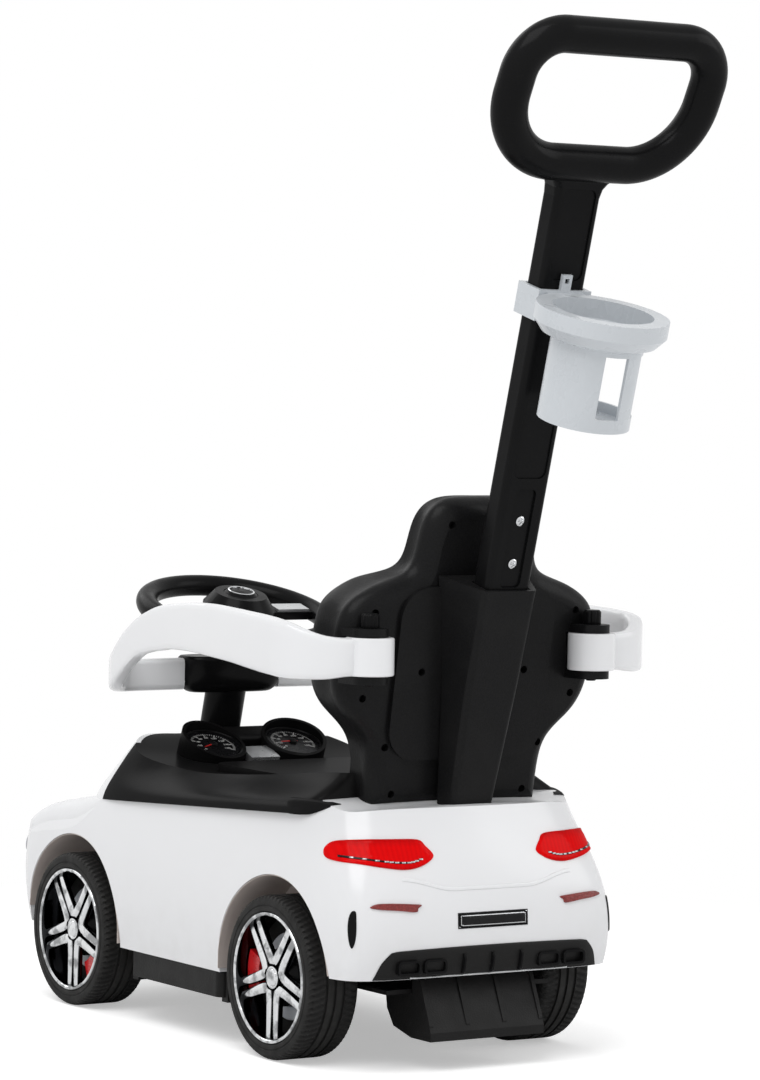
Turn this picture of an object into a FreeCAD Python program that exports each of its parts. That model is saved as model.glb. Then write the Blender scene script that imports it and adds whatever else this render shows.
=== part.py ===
import FreeCAD, Part
import Sketcher
import math
import os
import re

Vec = FreeCAD.Vector
X_AXIS = Vec(1, 0, 0)
Y_AXIS = Vec(0, 1, 0)
Z_AXIS = Vec(0, 0, 1)

# The car faces -Y, its left is +X, and it stands on z = 0 midway between the axles.

SIZES = [
    # wheels
    ("wheelbase", 374, "front axle to rear axle"),
    ("wheel_radius", 75, "tyre outer radius"),
    ("tyre_width", 52, "tyre across its side walls"),
    ("track_half", 128, "centre plane to wheel mid plane"),
    ("rim_radius", 60, "bright rim outer radius"),
    ("rim_lip", 4.5, "width of the bright lip"),
    ("rim_depth", 13, "depth of the rim seat in the tyre"),
    ("rim_face", 5, "thickness of rim lip and spokes"),
    ("hub_cap_radius", 8.5, "round cap in the rim centre"),
    ("spoke_count", 5, "double spokes on a rim"),
    ("disc_radius", 40, "brake disc outer radius"),
    ("disc_thickness", 2.5, "brake disc thickness"),
    ("web_thickness", 4, "wheel web"),
    ("tread_wall", 7, "tyre wall under the tread"),
    ("hub_radius", 12, "wheel hub outer radius"),
    ("axle_radius", 5, "axles, stubs and kingpins"),
    ("run_gap", 0.06, "running clearance on a radius"),
    ("joint_gap", 0.4, "clearance between moving faces"),
    # body shell
    ("body_half", 151, "half width at the bumpers"),
    ("front_overhang", 128, "front axle to nose"),
    ("rear_overhang", 136, "rear axle to tail"),
    ("sill_height", 68, "lower edge between the wheels"),
    ("nose_height", 72, "lower edge at the nose"),
    ("tail_height", 86, "lower edge at the tail"),
    ("bonnet_height", 206, "bonnet at the windscreen"),
    ("belt_height", 215, "belt amidships, where the saddle starts"),
    ("belt_rise", 3.2, "rise of the belt to the rear, degrees"),
    ("deck_height", 231, "rear deck at the backrest"),
    ("hip_height", 240, "deck in front of the backrest"),
    ("hip_place", 236, "place of that height along the car"),
    ("shell_wall", 3, "body shell wall"),
    ("rim_round", 20, "rounding along bonnet, belt and deck"),
    ("bonnet_crown", 4, "crown of bonnet and deck across the car"),
    ("arch_radius", 94, "wheel arch"),
    ("liner_wall", 2.5, "wheel well liner"),
    ("front_well_inner", 62, "inner wall of the front wells"),
    ("rear_well_inner", 92, "inner wall of the rear wells"),
    ("pan_thickness", 4, "chassis pan plate"),
    ("flank_tuck", 7, "flanks drawn in at the belt"),
    ("nose_tuck", 10, "nose drawn in at the bonnet"),
    ("tail_tuck", 14, "tail drawn in at the deck"),
    ("nose_corner", 58, "depth of the nose rounding"),
    ("nose_square", 5, "squareness of the nose, 2 is an ellipse"),
    ("tail_corner", 62, "depth of the tail rounding"),
    ("tail_square", 5, "squareness of the tail"),
    # saddle, dash and seat
    ("screen_foot", -226, "windscreen foot on the centre line"),
    ("screen_rake", 0.7, "windscreen setback per height"),
    ("screen_bow", 92, "depth of the windscreen bow"),
    ("screen_square", 2.4, "squareness of the windscreen bow"),
    ("cowl_wall", 5, "windscreen cowl wall"),
    ("cowl_edge", -141, "rear edge of the cowl at the belt"),
    ("cowl_edge_lean", 8, "lean of that edge, degrees"),
    ("saddle_half", 146, "saddle half width at the belt"),
    ("seat_half", 110, "seat half width at its crease"),
    ("seat_rise", 31, "seat crease above the belt at its lowest"),
    ("dash_rise", 66, "dash above the belt"),
    ("seat_rear_rise", 39, "seat crease above the belt at the backrest"),
    ("seat_round", 9, "rounding of the seat crease"),
    ("seat_dish", 5, "hollow of the seat between the creases"),
    ("saddle_end", 240, "rear end of the saddle"),
    ("lid_half", 86, "seat lid half width"),
    ("lid_front", -36, "seat lid front edge"),
    ("lid_hinge", 196, "seat lid hinge line along the car"),
    ("lid_base", 240, "underside of the seat lid"),
    ("lid_thickness", 10, "seat lid"),
    ("lid_corner", 24, "seat lid front corner"),
    ("hinge_radius", 2.5, "seat hinge pin"),
    ("bin_half", 78, "storage bin half width"),
    ("bin_floor", 102, "underside of the storage bin"),
    ("bin_wall", 2.5, "storage bin wall"),
    ("bin_front", 8, "bin behind the front edge of the lid"),
    ("bin_rear", 12, "bin in front of the hinge line"),
    ("bin_flange", 4, "bin flange, width and thickness"),
    ("bin_gap", 0.3, "clearance of the bin in the saddle"),
    ("pod_spread", 46, "gauge pod offset from the centre"),
    ("pod_place", -97, "gauge pod along the car"),
    ("pod_height", 259, "gauge face centre height"),
    ("pod_radius", 33, "gauge pod outer radius"),
    ("pod_wall", 3.5, "gauge pod wall"),
    ("pod_lean", 22, "gauge face lean, degrees"),
    ("pod_hood", 8, "pod rim above the gauge face"),
    ("pod_slant", 7, "fall of the pod rim to the rear, degrees"),
    ("pod_toe", 5, "fall of the pod rim to the centre, degrees"),
    ("gauge_thickness", 2, "gauge face disc"),
    ("display_half", 16, "centre display half width"),
    ("display_depth", 24, "centre display front to back"),
    ("display_drop", 7, "centre display below the gauge faces"),
    ("bridge_rise", 6, "bridge between the pods above the gauge faces"),
    # steering
    ("column_lean", 15, "steering column lean, degrees"),
    ("column_place", -153, "column axis along the car at the dash"),
    ("column_level", 300, "height of that place"),
    ("column_radius", 20, "column tube"),
    ("column_foot", 240, "lower end of the column tube"),
    ("wheel_level", 387, "steering wheel centre height"),
    ("steer_radius", 91, "steering wheel rim centre line"),
    ("steer_grip", 10.5, "steering wheel rim section radius"),
    ("steer_pad", 36, "steering wheel centre pad radius"),
    ("steer_pad_drop", 12, "centre pad below the rim plane"),
    ("steer_pad_rise", 8, "straight part of the pad above the rim plane"),
    ("steer_dome", 13, "domed part of the pad"),
    ("steer_spoke", 4, "half thickness of the steering spokes"),
    ("steer_cross_half", 11, "half width of the cross spokes"),
    ("steer_tail_half", 14, "half width of the lower spoke"),
    ("spoke_trim_half", 9, "half width of the spoke trims"),
    ("spoke_trim_rise", 2.5, "thickness of the spoke trims"),
    ("spoke_trim_start", 5, "from the pad to a spoke trim"),
    ("spoke_trim_end", 14, "from a spoke trim to the rim centre line"),
    ("horn_radius", 17, "horn button"),
    ("horn_travel", 2.5, "horn button travel"),
    ("horn_floor", 12, "floor of the horn recess above the rim plane"),
    ("horn_shoulder", 20.5, "horn button edge above the rim plane"),
    ("horn_crown", 3, "rise of the horn button to its middle"),
    ("shaft_radius", 8, "steering shaft"),
    ("shaft_foot", 134, "lower end of the steering shaft"),
    ("pitman_length", 19.25, "pitman arm, axis to peg"),
    ("steer_arm", 35, "knuckle arm, kingpin to peg"),
    ("kingpin_half", 93, "kingpin from the centre plane"),
    ("peg_radius", 3, "linkage pegs"),
    ("rod_level", 110, "underside of the tie rod"),
    ("rod_thickness", 6, "tie rod"),
    ("rod_end", 5.5, "tie rod beyond the kingpins"),
    ("beam_level", 85, "underside of the front axle beam"),
    ("beam_height", 15, "front axle beam"),
    ("beam_half", 9, "front axle beam half depth"),
    ("beam_end", 10, "front axle beam beyond the kingpins"),
    ("post_inner", 28, "beam post inner face"),
    ("post_outer", 46, "beam post outer face"),
    ("knuckle_half", 10, "half width of the knuckle block"),
    ("arm_half", 7, "half width of knuckle arms and tie rod"),
    # guard
    ("pin_half", 121.5, "guard pin from the centre plane"),
    ("pin_place", 298, "guard pin along the car"),
    ("pin_radius", 5, "guard pin"),
    ("knob_radius", 7.5, "guard pin knob"),
    ("ear_thickness", 7.5, "hinge ears on the backrest"),
    ("boss_radius", 22, "guard arm boss at the pin"),
    ("guard_half", 193, "guard arm mid line, widest"),
    ("guard_front_half", 150, "guard arm mid line at the front corner"),
    ("guard_thickness", 14, "guard arm across"),
    ("guard_rear_corner", 44, "guard arm bend by the pin"),
    ("guard_front_corner", 52, "guard arm bend at the front"),
    ("guard_low_rear", 357, "lower edge at the pin"),
    ("guard_high_rear", 391, "upper edge at the pin"),
    ("guard_low_flank", 353, "lower edge behind the middle"),
    ("guard_high_flank", 411, "upper edge behind the middle"),
    ("guard_low_crest", 366, "lower edge at the middle"),
    ("guard_high_crest", 412, "upper edge at the middle"),
    ("guard_low_dip", 325, "lower edge at the front corner"),
    ("guard_high_dip", 366, "upper edge at the front corner"),
    ("guard_low_front", 312, "lower edge at the hub"),
    ("guard_high_front", 343, "upper edge at the hub"),
    ("hub_half", 54, "guard hub half width"),
    ("hub_depth", 50, "guard hub front to back"),
    ("tongue_reach", 12, "guard tongue inside the hub"),
    ("tongue_half", 5, "half thickness of the guard tongue"),
    ("tongue_rise", 9, "half height of the guard tongue"),
    ("guard_round", 4, "edge rounding of the guard arms"),
    # backrest and mast
    ("back_lean", 9.4, "backrest lean, degrees"),
    ("back_place", 259, "backrest rear face at its foot"),
    ("back_foot", 232, "backrest foot height"),
    ("back_foot_half", 93, "backrest half width at the foot"),
    ("back_half", 139, "backrest half width, widest"),
    ("back_flare", 64, "foot to flare along the back"),
    ("back_wide", 134, "foot to widest place"),
    ("back_shoulder", 208, "foot to shoulder"),
    ("head_half", 61, "headrest half width"),
    ("head_top", 284, "foot to headrest top"),
    ("back_rear_depth", 18, "rear shell depth"),
    ("back_front_depth", 46, "front shell depth"),
    ("back_scoop", 200, "radius of the hollow in the front of the backrest"),
    ("back_waist", 0.62, "depth of the backrest at its foot as a share of the whole"),
    ("back_round", 14, "rounding of the rear shell edge"),
    ("panel_half", 84, "raised back panel half width"),
    ("panel_foot", 46, "foot to panel"),
    ("panel_height", 160, "raised back panel height"),
    ("panel_raise", 4, "raised back panel step"),
    ("mast_lean", 15.5, "mast lean, degrees"),
    ("mast_place", 327, "mast axis along the car at the socket"),
    ("mast_level", 443, "height of that place"),
    ("mast_width", 48, "mast across"),
    ("mast_depth", 25, "mast front to back"),
    ("mast_wall", 3, "mast wall"),
    ("mast_corner", 6, "mast edge rounding"),
    ("mast_insert", 100, "mast length in the socket"),
    ("socket_length", 215, "mast socket down to the deck"),
    ("socket_foot_half", 22, "mast socket half width at its foot"),
    ("mast_length", 372, "mast length above the socket"),
    ("socket_wall", 4, "mast socket wall"),
    ("socket_flank", 48, "mast socket half width on the backrest"),
    ("loop_lean", 27, "loop handle lean, degrees"),
    ("loop_half", 101, "loop mid line half width"),
    ("loop_height", 118, "loop mid line height"),
    ("grip_width", 33, "loop tube across, in the loop plane"),
    ("grip_depth", 31, "loop tube front to back"),
    ("cup_level", 703, "cup ring height on the mast"),
    ("cup_bore", 45, "cup ring bore radius"),
    ("cup_ring", 59, "cup ring outer radius"),
    ("cup_ring_height", 24, "cup ring height"),
    ("cup_sleeve", 41, "cup sleeve outer radius"),
    ("cup_wall", 3, "cup sleeve wall"),
    ("cup_flare", 10, "fall of the cup ring to the sleeve"),
    ("clip_gap", 0.1, "clearance of the cup clip"),
    ("cup_depth", 76, "cup sleeve below the ring"),
    ("clip_wall", 4, "cup clip strap"),
    ("lug_half", 5, "half width of the holed lug on the clip"),
    ("lug_height", 14, "lug above the clip"),
    # lower trim
    ("foot_half", 62, "anti-tip foot half width"),
    ("foot_ground", 28, "anti-tip foot above the ground"),
    ("tray_length", 168, "footrest along the car"),
    ("tray_height", 24, "footrest height"),
    ("tray_depth", 78, "footrest across the car"),
    ("tray_outer", 147, "footrest outer face"),
    ("rail_wall", 4, "footrest rail"),
    ("rail_lip", 6, "lip of a rail under the footrest, and its setback from the flank"),
    ("carrier_place", 72, "rear axle carrier from the centre plane"),
    ("carrier_half", 12, "half width of a rear axle carrier"),
    ("carrier_rise", 14, "rear axle carrier above the axle"),
    ("spoke_gap", 5, "between the two bars of a spoke at the hub"),
    ("spoke_width", 6.5, "bar of a spoke"),
    ("caliper_inner", 34, "inner radius of the caliper"),
    ("caliper_outer", 53, "outer radius of the caliper"),
    ("caliper_sweep", 40, "angle that the caliper covers"),
    ("tray_place", 8.5, "footrest middle along the car"),
    ("foot_place", 99, "anti-tip foot behind the rear axle"),
    ("foot_length", 43, "anti-tip foot in front of that place"),
    ("foot_lip", 8, "thickness of the lip of the foot"),
    ("foot_reach", 32, "lip of the foot behind that place"),
    ("foot_rib_count", 4, "ribs on the foot"),
    ("tray_corner", 8, "footrest outer corner radius"),
    ("groove_width", 3, "groove in the footrest top"),
    ("groove_depth", 1.5, "depth of those grooves"),
    ("groove_count", 6, "number of those grooves"),
    ("tongue_clear", 2.5, "clearance of the guard tongue fore and aft"),
    ("slot_width", 22, "screw slot in the mast"),
    ("slot_depth", 2.2, "depth of that slot"),
    ("slot_foot", -4, "start of that slot above the mast seat"),
    ("slot_height", 92, "length of that slot"),
    ("slot_corner", 5, "corner of that slot"),
    ("screw_low", 18, "lower screw above the mast seat"),
    ("screw_high", 58, "upper screw above the mast seat"),
    ("inlay_width", 35, "sunk panels on mast and neck"),
    ("inlay_depth", 1.5, "depth of those panels"),
    ("inlay_corner", 7, "corner of those panels"),
    ("inlay_gap", 10, "from slot, clip and flare to a sunk panel"),
    ("screw_radius", 4.5, "mast screw head"),
    ("loop_offset", 15, "handle loop behind the mast axis"),
    ("loop_rise", 14, "handle loop foot above the mast end"),
    ("sleeve_wall", 3, "handle sleeve round the mast"),
    ("sleeve_reach", 112, "handle sleeve length down the mast"),
    ("sleeve_gap", 0.1, "clearance of the handle sleeve on its spigot"),
    ("lamp_inner", -100, "tail lamp inner tip, seen along its heading"),
    ("lamp_outer", 8, "tail lamp outer tip"),
    ("lamp_low", 180.5, "tail lamp lower edge"),
    ("lamp_high", 211.5, "tail lamp upper edge"),
    ("lamp_heading", 28, "direction that the tail lamp faces, from the rear"),
    ("reflector_inner", 72, "rear reflector inner tip"),
    ("reflector_outer", 129, "rear reflector outer tip"),
    ("reflector_low", 146, "rear reflector lower edge"),
    ("reflector_high", 156, "rear reflector upper edge"),
    ("vent_inner", -25.5, "corner vent inner edge"),
    ("vent_outer", -14.5, "corner vent outer edge"),
    ("vent_low", 109, "corner vent foot"),
    ("vent_high", 152, "corner vent top"),
    ("eye_inner", 104, "headlight inner tip, seen along its heading"),
    ("eye_outer", 24, "headlight outer tip"),
    ("eye_low", 132, "headlight lower edge"),
    ("eye_high", 164, "headlight upper edge"),
    ("eye_heading", 150, "direction that the headlight faces, from the rear"),
    ("grille_half", 70, "grille half width"),
    ("grille_low", 88, "grille lower edge"),
    ("grille_high", 126, "grille upper edge"),
    ("apron_half", 128, "diffuser half width"),
    ("apron_height", 26, "diffuser height above the lower edge of the tail"),
    ("pipe_place", 76, "middle of a pair of tailpipes"),
    ("pipe_pitch", 28, "from one tailpipe to the next"),
    ("pipe_width", 24, "tailpipe width"),
    ("pipe_height", 13, "tailpipe height"),
    ("pipe_wall", 2, "tailpipe wall"),
    ("pipe_level", 97, "tailpipe height above the ground"),
    ("pipe_reach", 2, "tailpipe end behind the tail"),
    ("trim_gap", 0.3, "clearance under the windscreen"),
    ("trim_proud", 1.8, "lamps and trim above the skin"),
]

doc = FreeCAD.newDocument("push_car")
sheet = doc.addObject("Spreadsheet::Sheet", "sizes")
for row, (alias, number, note) in enumerate(SIZES, 1):
    sheet.set("A%d" % row, note)
    sheet.set("B%d" % row, str(number))
    sheet.setAlias("B%d" % row, alias)
doc.recompute()

ALIASES = {alias for alias, number, note in SIZES}
WORD = re.compile(r"[a-z][a-z0-9_]*")
nodes = []


class Cells:
    """Reads a size from the sheet by its name."""

    def __getattr__(self, alias):
        return float(sheet.get(alias))


size = Cells()


def cell(text):
    """Turns a formula of size names into one the document can evaluate."""
    def named(word):
        return "sizes." + word.group() if word.group() in ALIASES else word.group()
    return WORD.sub(named, str(text))


def bind(item, **formulas):
    """Binds properties to formulas; a double underscore stands for a dot."""
    for path, formula in formulas.items():
        item.setExpression(path.replace("__", "."), cell(formula))


def place(item, x="0", y="0", z="0"):
    bind(item, Placement__Base__x=x, Placement__Base__y=y, Placement__Base__z=z)
    return item


def keep(item, label):
    """Names a finished sub-part and lists it for writing."""
    item.Label = label
    nodes.append(item)
    return item


def box(name, x0, x1, y0, y1, z0, z1):
    item = doc.addObject("Part::Box", name)
    spans = ["(%s) - (%s)" % ends for ends in ((x1, x0), (y1, y0), (z1, z0))]
    bind(item, Length=spans[0], Width=spans[1], Height=spans[2])
    return place(item, x0, y0, z0)


def cylinder(name, radius, length, x="0", y="0", z="0", turn=None):
    """A cylinder from a point, along Z or turned about an axis."""
    item = doc.addObject("Part::Cylinder", name)
    bind(item, Radius=radius, Height=length)
    if turn:
        item.Placement.Rotation = FreeCAD.Rotation(*turn)
    return place(item, x, y, z)


ALONG_X = (Y_AXIS, 90)


def fuse(name, *items):
    item = doc.addObject("Part::MultiFuse", name)
    item.Shapes = list(items)
    return item


def cut(name, base, *tools):
    item = doc.addObject("Part::Cut", name)
    item.Base = base
    item.Tool = tools[0] if len(tools) == 1 else fuse(name + "_tools", *tools)
    return item


def feature(name, shape):
    item = doc.addObject("Part::Feature", name)
    item.Shape = shape
    return item


def origin_of(body, role):
    """One of the body's own origin planes or axes."""
    return next(item for item in body.Origin.OriginFeatures if item.Role == role)


def new_body(name):
    return doc.addObject("PartDesign::Body", name)


def sketch_on(body, name, role):
    sketch = body.newObject("Sketcher::SketchObject", name)
    sketch.AttachmentSupport = [(origin_of(body, role), "")]
    sketch.MapMode = "FlatFace"
    return sketch


def pin_point(sketch, geometry, point, across, formula):
    """Holds one coordinate of a sketch point at a formula of the sheet."""
    number = sheet.evalExpression(cell(formula).replace("sizes.", ""))
    kind = "DistanceX" if across else "DistanceY"
    if abs(number) < 1e-9:
        sketch.addConstraint(Sketcher.Constraint("PointOnObject", geometry, point, -2 if across else -1))
        return
    ends = (-1, 1, geometry, point) if number > 0 else (geometry, point, -1, 1)
    index = sketch.addConstraint(Sketcher.Constraint(kind, *ends, abs(number)))
    signed = formula if number > 0 else "-(%s)" % formula
    sketch.setExpression("Constraints[%d]" % index, cell(signed))


def polygon(sketch, corners):
    """Draws a closed outline whose corners are formulas of the sheet."""
    spots = []
    for across, up in corners:
        numbers = [sheet.evalExpression(cell(text).replace("sizes.", "")) for text in (across, up)]
        spots.append(Vec(numbers[0], numbers[1], 0))
    first = sketch.GeometryCount
    count = len(spots)
    for index in range(count):
        sketch.addGeometry(Part.LineSegment(spots[index], spots[(index + 1) % count]), False)
    for index in range(count):
        after = first + (index + 1) % count
        sketch.addConstraint(Sketcher.Constraint("Coincident", first + index, 2, after, 1))
    for index, (across, up) in enumerate(corners):
        pin_point(sketch, first + index, 1, True, across)
        pin_point(sketch, first + index, 1, False, up)


def circle(sketch, across, up, radius):
    numbers = [sheet.evalExpression(cell(text).replace("sizes.", "")) for text in (across, up, radius)]
    ring = sketch.addGeometry(Part.Circle(Vec(numbers[0], numbers[1], 0), Z_AXIS, numbers[2]), False)
    pin_point(sketch, ring, 3, True, across)
    pin_point(sketch, ring, 3, False, up)
    index = sketch.addConstraint(Sketcher.Constraint("Radius", ring, numbers[2]))
    sketch.setExpression("Constraints[%d]" % index, cell(radius))


def revolve(body, name, corners, upright=False):
    """Turns corners of (along, radius) about X, or of (radius, height) about an upright axis."""
    sketch = sketch_on(body, name + "_outline", "XZ_Plane" if upright else "XY_Plane")
    polygon(sketch, corners)
    turned = body.newObject("PartDesign::Revolution", name)
    turned.Profile = sketch
    turned.ReferenceAxis = (sketch, ["V_Axis" if upright else "H_Axis"])
    turned.Angle = 360
    return turned


def pad(body, name, role, corners, length, centred=False):
    sketch = sketch_on(body, name + "_outline", role)
    polygon(sketch, corners)
    raised = body.newObject("PartDesign::Pad", name)
    raised.Profile = sketch
    raised.SideType = "Symmetric" if centred else "One side"
    bind(raised, Length=length)
    return raised


# Places that several pieces share
front_axle = -size.wheelbase / 2
rear_axle = size.wheelbase / 2
nose = front_axle - size.front_overhang
tail = rear_axle + size.rear_overhang


def closed_curve(points):
    """A smooth closed wire drawn in by its control points."""
    curve = Part.BSplineCurve()
    curve.buildFromPoles(points, True, 3)
    return Part.Wire(curve.toShape())


def end_cap(half, reach, depth, square):
    """Control points of a rounded end, from the centre line out to the flank."""
    points = []
    for step in range(5):
        angle = math.radians(22.5 * step)
        across = half * math.sin(angle) ** (2 / square)
        back = depth * (1 - math.cos(angle) ** (2 / square))
        points.append((across, reach - math.copysign(back, reach)))
    return points


def plan_outline(height, half, front_half, front, rear):
    """A plan curve from a rear to a front half width; front and rear are (reach, depth, squareness)."""
    rear_cap = end_cap(half, *rear)
    front_cap = end_cap(front_half, *front)
    flank = [(half, 0.5 * rear_cap[-1][1]), (half, 0), ((half + front_half) / 2, 0.5 * front_cap[-1][1])]
    right = rear_cap + flank + front_cap[::-1]
    left = [(-x, y) for x, y in reversed(right[1:-1])]
    return closed_curve([Vec(x, y, height) for x, y in right + left])


def tunnel(line, half, crown, floor):
    """A solid under a side line of (place, height, shoulder), with a crowned top, right along the car."""
    sections = []
    for y, top, shoulder in line:
        foot = half + 0.4 * (top - floor)
        corners = [Vec(side * x, y, z) for side in (1, -1) for x, z in (
            (foot, floor), (half, top - shoulder), (half - shoulder, top))]
        bend = shoulder * (1 - math.sqrt(0.5))
        right_bend = Vec(half - bend, y, top - bend)
        left_bend = Vec(-half + bend, y, top - bend)
        edges = [
            Part.LineSegment(corners[0], corners[1]),
            Part.Arc(corners[1], right_bend, corners[2]),
            Part.Arc(corners[2], Vec(0, y, top + crown), corners[5]),
            Part.Arc(corners[5], left_bend, corners[4]),
            Part.LineSegment(corners[4], corners[3]),
            Part.LineSegment(corners[3], corners[0]),
        ]
        sections.append(Part.Wire([edge.toShape() for edge in edges]))
    return Part.makeLoft(sections, True, False)


def under_line(corners):
    """Everything below a side view outline, right across the car."""
    reach = 2 * size.body_half
    face = Part.Face(Part.makePolygon([Vec(-reach, y, z) for y, z in corners + corners[:1]]))
    return face.extrude(Vec(2 * reach, 0, 0))


def belt_line(y):
    """Height of the belt, where the saddle meets the flank."""
    return size.belt_height + math.tan(math.radians(size.belt_rise)) * y


def body_form(inset):
    """The outer form of the body, or with an inset the space inside its wall."""
    levels = [
        (size.sill_height - 14, 0.7, 1.5, 1.2, 0),
        (size.tail_height + 12, 0, 0.2, 0.1, 0),
        (size.tail_height + 60, 0, 0, 0, 0.2),
        (size.belt_height - 15, 1, 1, 1, 1),
        (size.belt_height + 40, 2, 2.8, 2.3, 1.4),
    ]
    outlines = []
    for height, side, front, rear, soft in levels:
        half = size.body_half - inset - side * size.flank_tuck
        outlines.append(plan_outline(
            height, half, half,
            (nose + inset + front * size.nose_tuck, size.nose_corner - inset, size.nose_square),
            (tail - inset - rear * size.tail_tuck, size.tail_corner - inset + 18 * soft,
             size.tail_square - 1.6 * soft)))
    bonnet = size.bonnet_height - inset
    deck = size.deck_height - inset
    wide = size.rim_round - inset
    tight = max(6 - inset, 2)
    line = [
        (nose - 26, bonnet - 78, wide),
        (nose, bonnet - 45, wide),
        (nose + 19, bonnet - 28, wide),
        (nose + 49, bonnet - 15, wide),
        (nose + 76, bonnet - 9, wide),
        (nose + 130, bonnet, wide),
    ]
    for y in (front_axle + 50, front_axle / 3, 0, rear_axle / 3, 2 * rear_axle / 3, rear_axle):
        line.append((y, belt_line(y) + 4 - inset, tight))
    hip = size.hip_height - inset
    line += [
        (size.hip_place - 24, 0.4 * (belt_line(rear_axle) + 4 - inset) + 0.6 * hip, 0.6 * wide),
        (size.hip_place, hip, 0.9 * wide),
        (size.back_place + 8, deck + 1, 0.9 * wide),
        (tail - 36, deck + 2, wide),
        (tail - 20, deck - 3, wide),
        (tail - 10, deck - 14, wide),
        (tail, deck - 34, wide),
        (tail + 10, deck - 60, wide),
    ]
    flank = size.body_half - size.flank_tuck - inset
    over = tunnel(line, flank, size.bonnet_crown, 0)
    return Part.makeLoft(outlines, True, False).common(over)


def lower_edge():
    """What is cut away below the tail, the sills and the nose."""
    return under_line([
        (tail + 40, 0),
        (tail + 40, size.tail_height),
        (rear_axle, size.tail_height),
        (rear_axle, size.sill_height),
        (front_axle, size.sill_height),
        (front_axle, size.nose_height),
        (nose - 40, size.nose_height),
        (nose - 40, 0),
    ])


def edges_along(shape, axis):
    """The straight edges of a block that run along an axis."""
    return [edge for edge in shape.Edges if abs(edge.tangentAt(edge.FirstParameter).dot(axis)) > 0.9]


def rod(radius, start, end):
    """A plain cylinder between two points."""
    along = end - start
    return Part.makeCylinder(radius, along.Length, start, along)


def block(x0, x1, y0, y1, z0, z1):
    return Part.makeBox(x1 - x0, y1 - y0, z1 - z0, Vec(x0, y0, z0))


def column_point(height):
    """The point of the steering axis at a height."""
    slope = math.tan(math.radians(size.column_lean))
    return Vec(0, size.column_place + slope * (height - size.column_level), height)


body_outer = body_form(0)
body_inner = body_form(size.shell_wall)
body_proud = body_form(-size.trim_proud)
WELLS = [(front_axle, size.front_well_inner), (rear_axle, size.rear_well_inner)]


def well(y, inner, side, wall):
    """A wheel well, or with a wall the outside of its liner."""
    start = Vec(side * (inner - wall), y, size.wheel_radius)
    end = Vec(side * (size.body_half + 40), y, size.wheel_radius)
    return rod(size.arch_radius + wall, start, end)


def make_body_shell():
    outer = body_outer
    hollow = body_inner
    for side in (1, -1):
        for y, inner in WELLS:
            outer = outer.cut(well(y, inner, side, 0))
            hollow = hollow.cut(well(y, inner, side, size.liner_wall))
    inner = size.front_well_inner + 1
    window = block(-inner, inner, front_axle - 26, front_axle + 56, 0, size.rod_level + 34)
    ends = Vec(size.track_half, rear_axle, size.wheel_radius)
    axle_hole = rod(size.axle_radius + size.run_gap, Vec(-ends.x, ends.y, ends.z), ends)
    cabin_half = size.bin_half + 26
    cabin_floor = size.wheel_radius + size.arch_radius + 10
    cabin = block(-cabin_half, cabin_half, size.lid_front - 70, size.lid_hinge + 24,
                  cabin_floor, 2 * size.belt_height)
    column_hole = rod(size.shaft_radius + 5, column_point(150), column_point(300))
    shell = outer.cut(hollow)
    for opening in (lower_edge(), window, axle_hole, cabin, column_hole):
        shell = shell.cut(opening)
    return keep(feature("body_shell_form", shell), "body_shell")


make_body_shell()


# Cabin: the raised form that the cowl and the saddle are cut from
def cabin_form(inset, lift):
    """Lofted level with the belt, then tilted to rise with it; the lift raises its top."""
    crease = size.seat_rise
    levels = [
        (0, 1, 1),
        (0.25 * crease, 0.94, 0.96),
        (0.5 * crease, 0.68, 0.88),
        (crease, 0, 0.65),
        (crease + 18, -0.42, 0.36),
        (crease + 50, -0.8, -0.6),
    ]
    flare = size.saddle_half - size.seat_half
    outlines = []
    for height, seat_share, dash_share in levels:
        outlines.append(plan_outline(
            height,
            size.seat_half + seat_share * flare - inset,
            size.seat_half + dash_share * flare - inset,
            (size.screen_foot + size.screen_rake * height + inset, size.screen_bow - inset,
             size.screen_square),
            (size.saddle_end - inset, 26, 4)))
    dash = size.dash_rise + lift
    low = crease + lift
    high = size.seat_rear_rise + lift
    line = [(y, top, size.seat_round) for y, top in (
        (size.screen_foot - 30, dash + 1),
        (size.screen_foot + 26, dash),
        (size.pod_place - 73, dash - 1),
        (size.pod_place - 45, dash - 6),
        (size.pod_place - 14, low + 17),
        (size.pod_place + 12, low + 10),
        (size.pod_place + 42, low + 5),
        (0, low),
        (0.25 * size.saddle_end, low),
        (0.5 * size.saddle_end, low + 2),
        (0.72 * size.saddle_end, low + 5),
        (size.saddle_end - 20, high - 1),
        (size.saddle_end + 20, high))]
    over = tunnel(line, size.saddle_half, -size.seat_dish, -60)
    solid = Part.makeLoft(outlines, True, False).common(over)
    solid.rotate(Vec(0, 0, 0), X_AXIS, size.belt_rise)
    solid.translate(Vec(0, 0, size.belt_height))
    return solid


cabin_outer = cabin_form(0, 0)
edge_slope = math.tan(math.radians(size.cowl_edge_lean))
front_zone = under_line([
    (size.cowl_edge - 60 * edge_slope, size.belt_height - 60),
    (size.cowl_edge + 120 * edge_slope, size.belt_height + 120),
    (2 * nose, size.belt_height + 120),
    (2 * nose, size.belt_height - 60)])
cowl_form = cabin_outer.common(front_zone).cut(cabin_form(size.cowl_wall, 30))


def column_space(gap):
    """The steering column tube, or with a gap the room for it."""
    return rod(size.column_radius + gap, column_point(size.column_foot), column_point(size.wheel_level))


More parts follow.
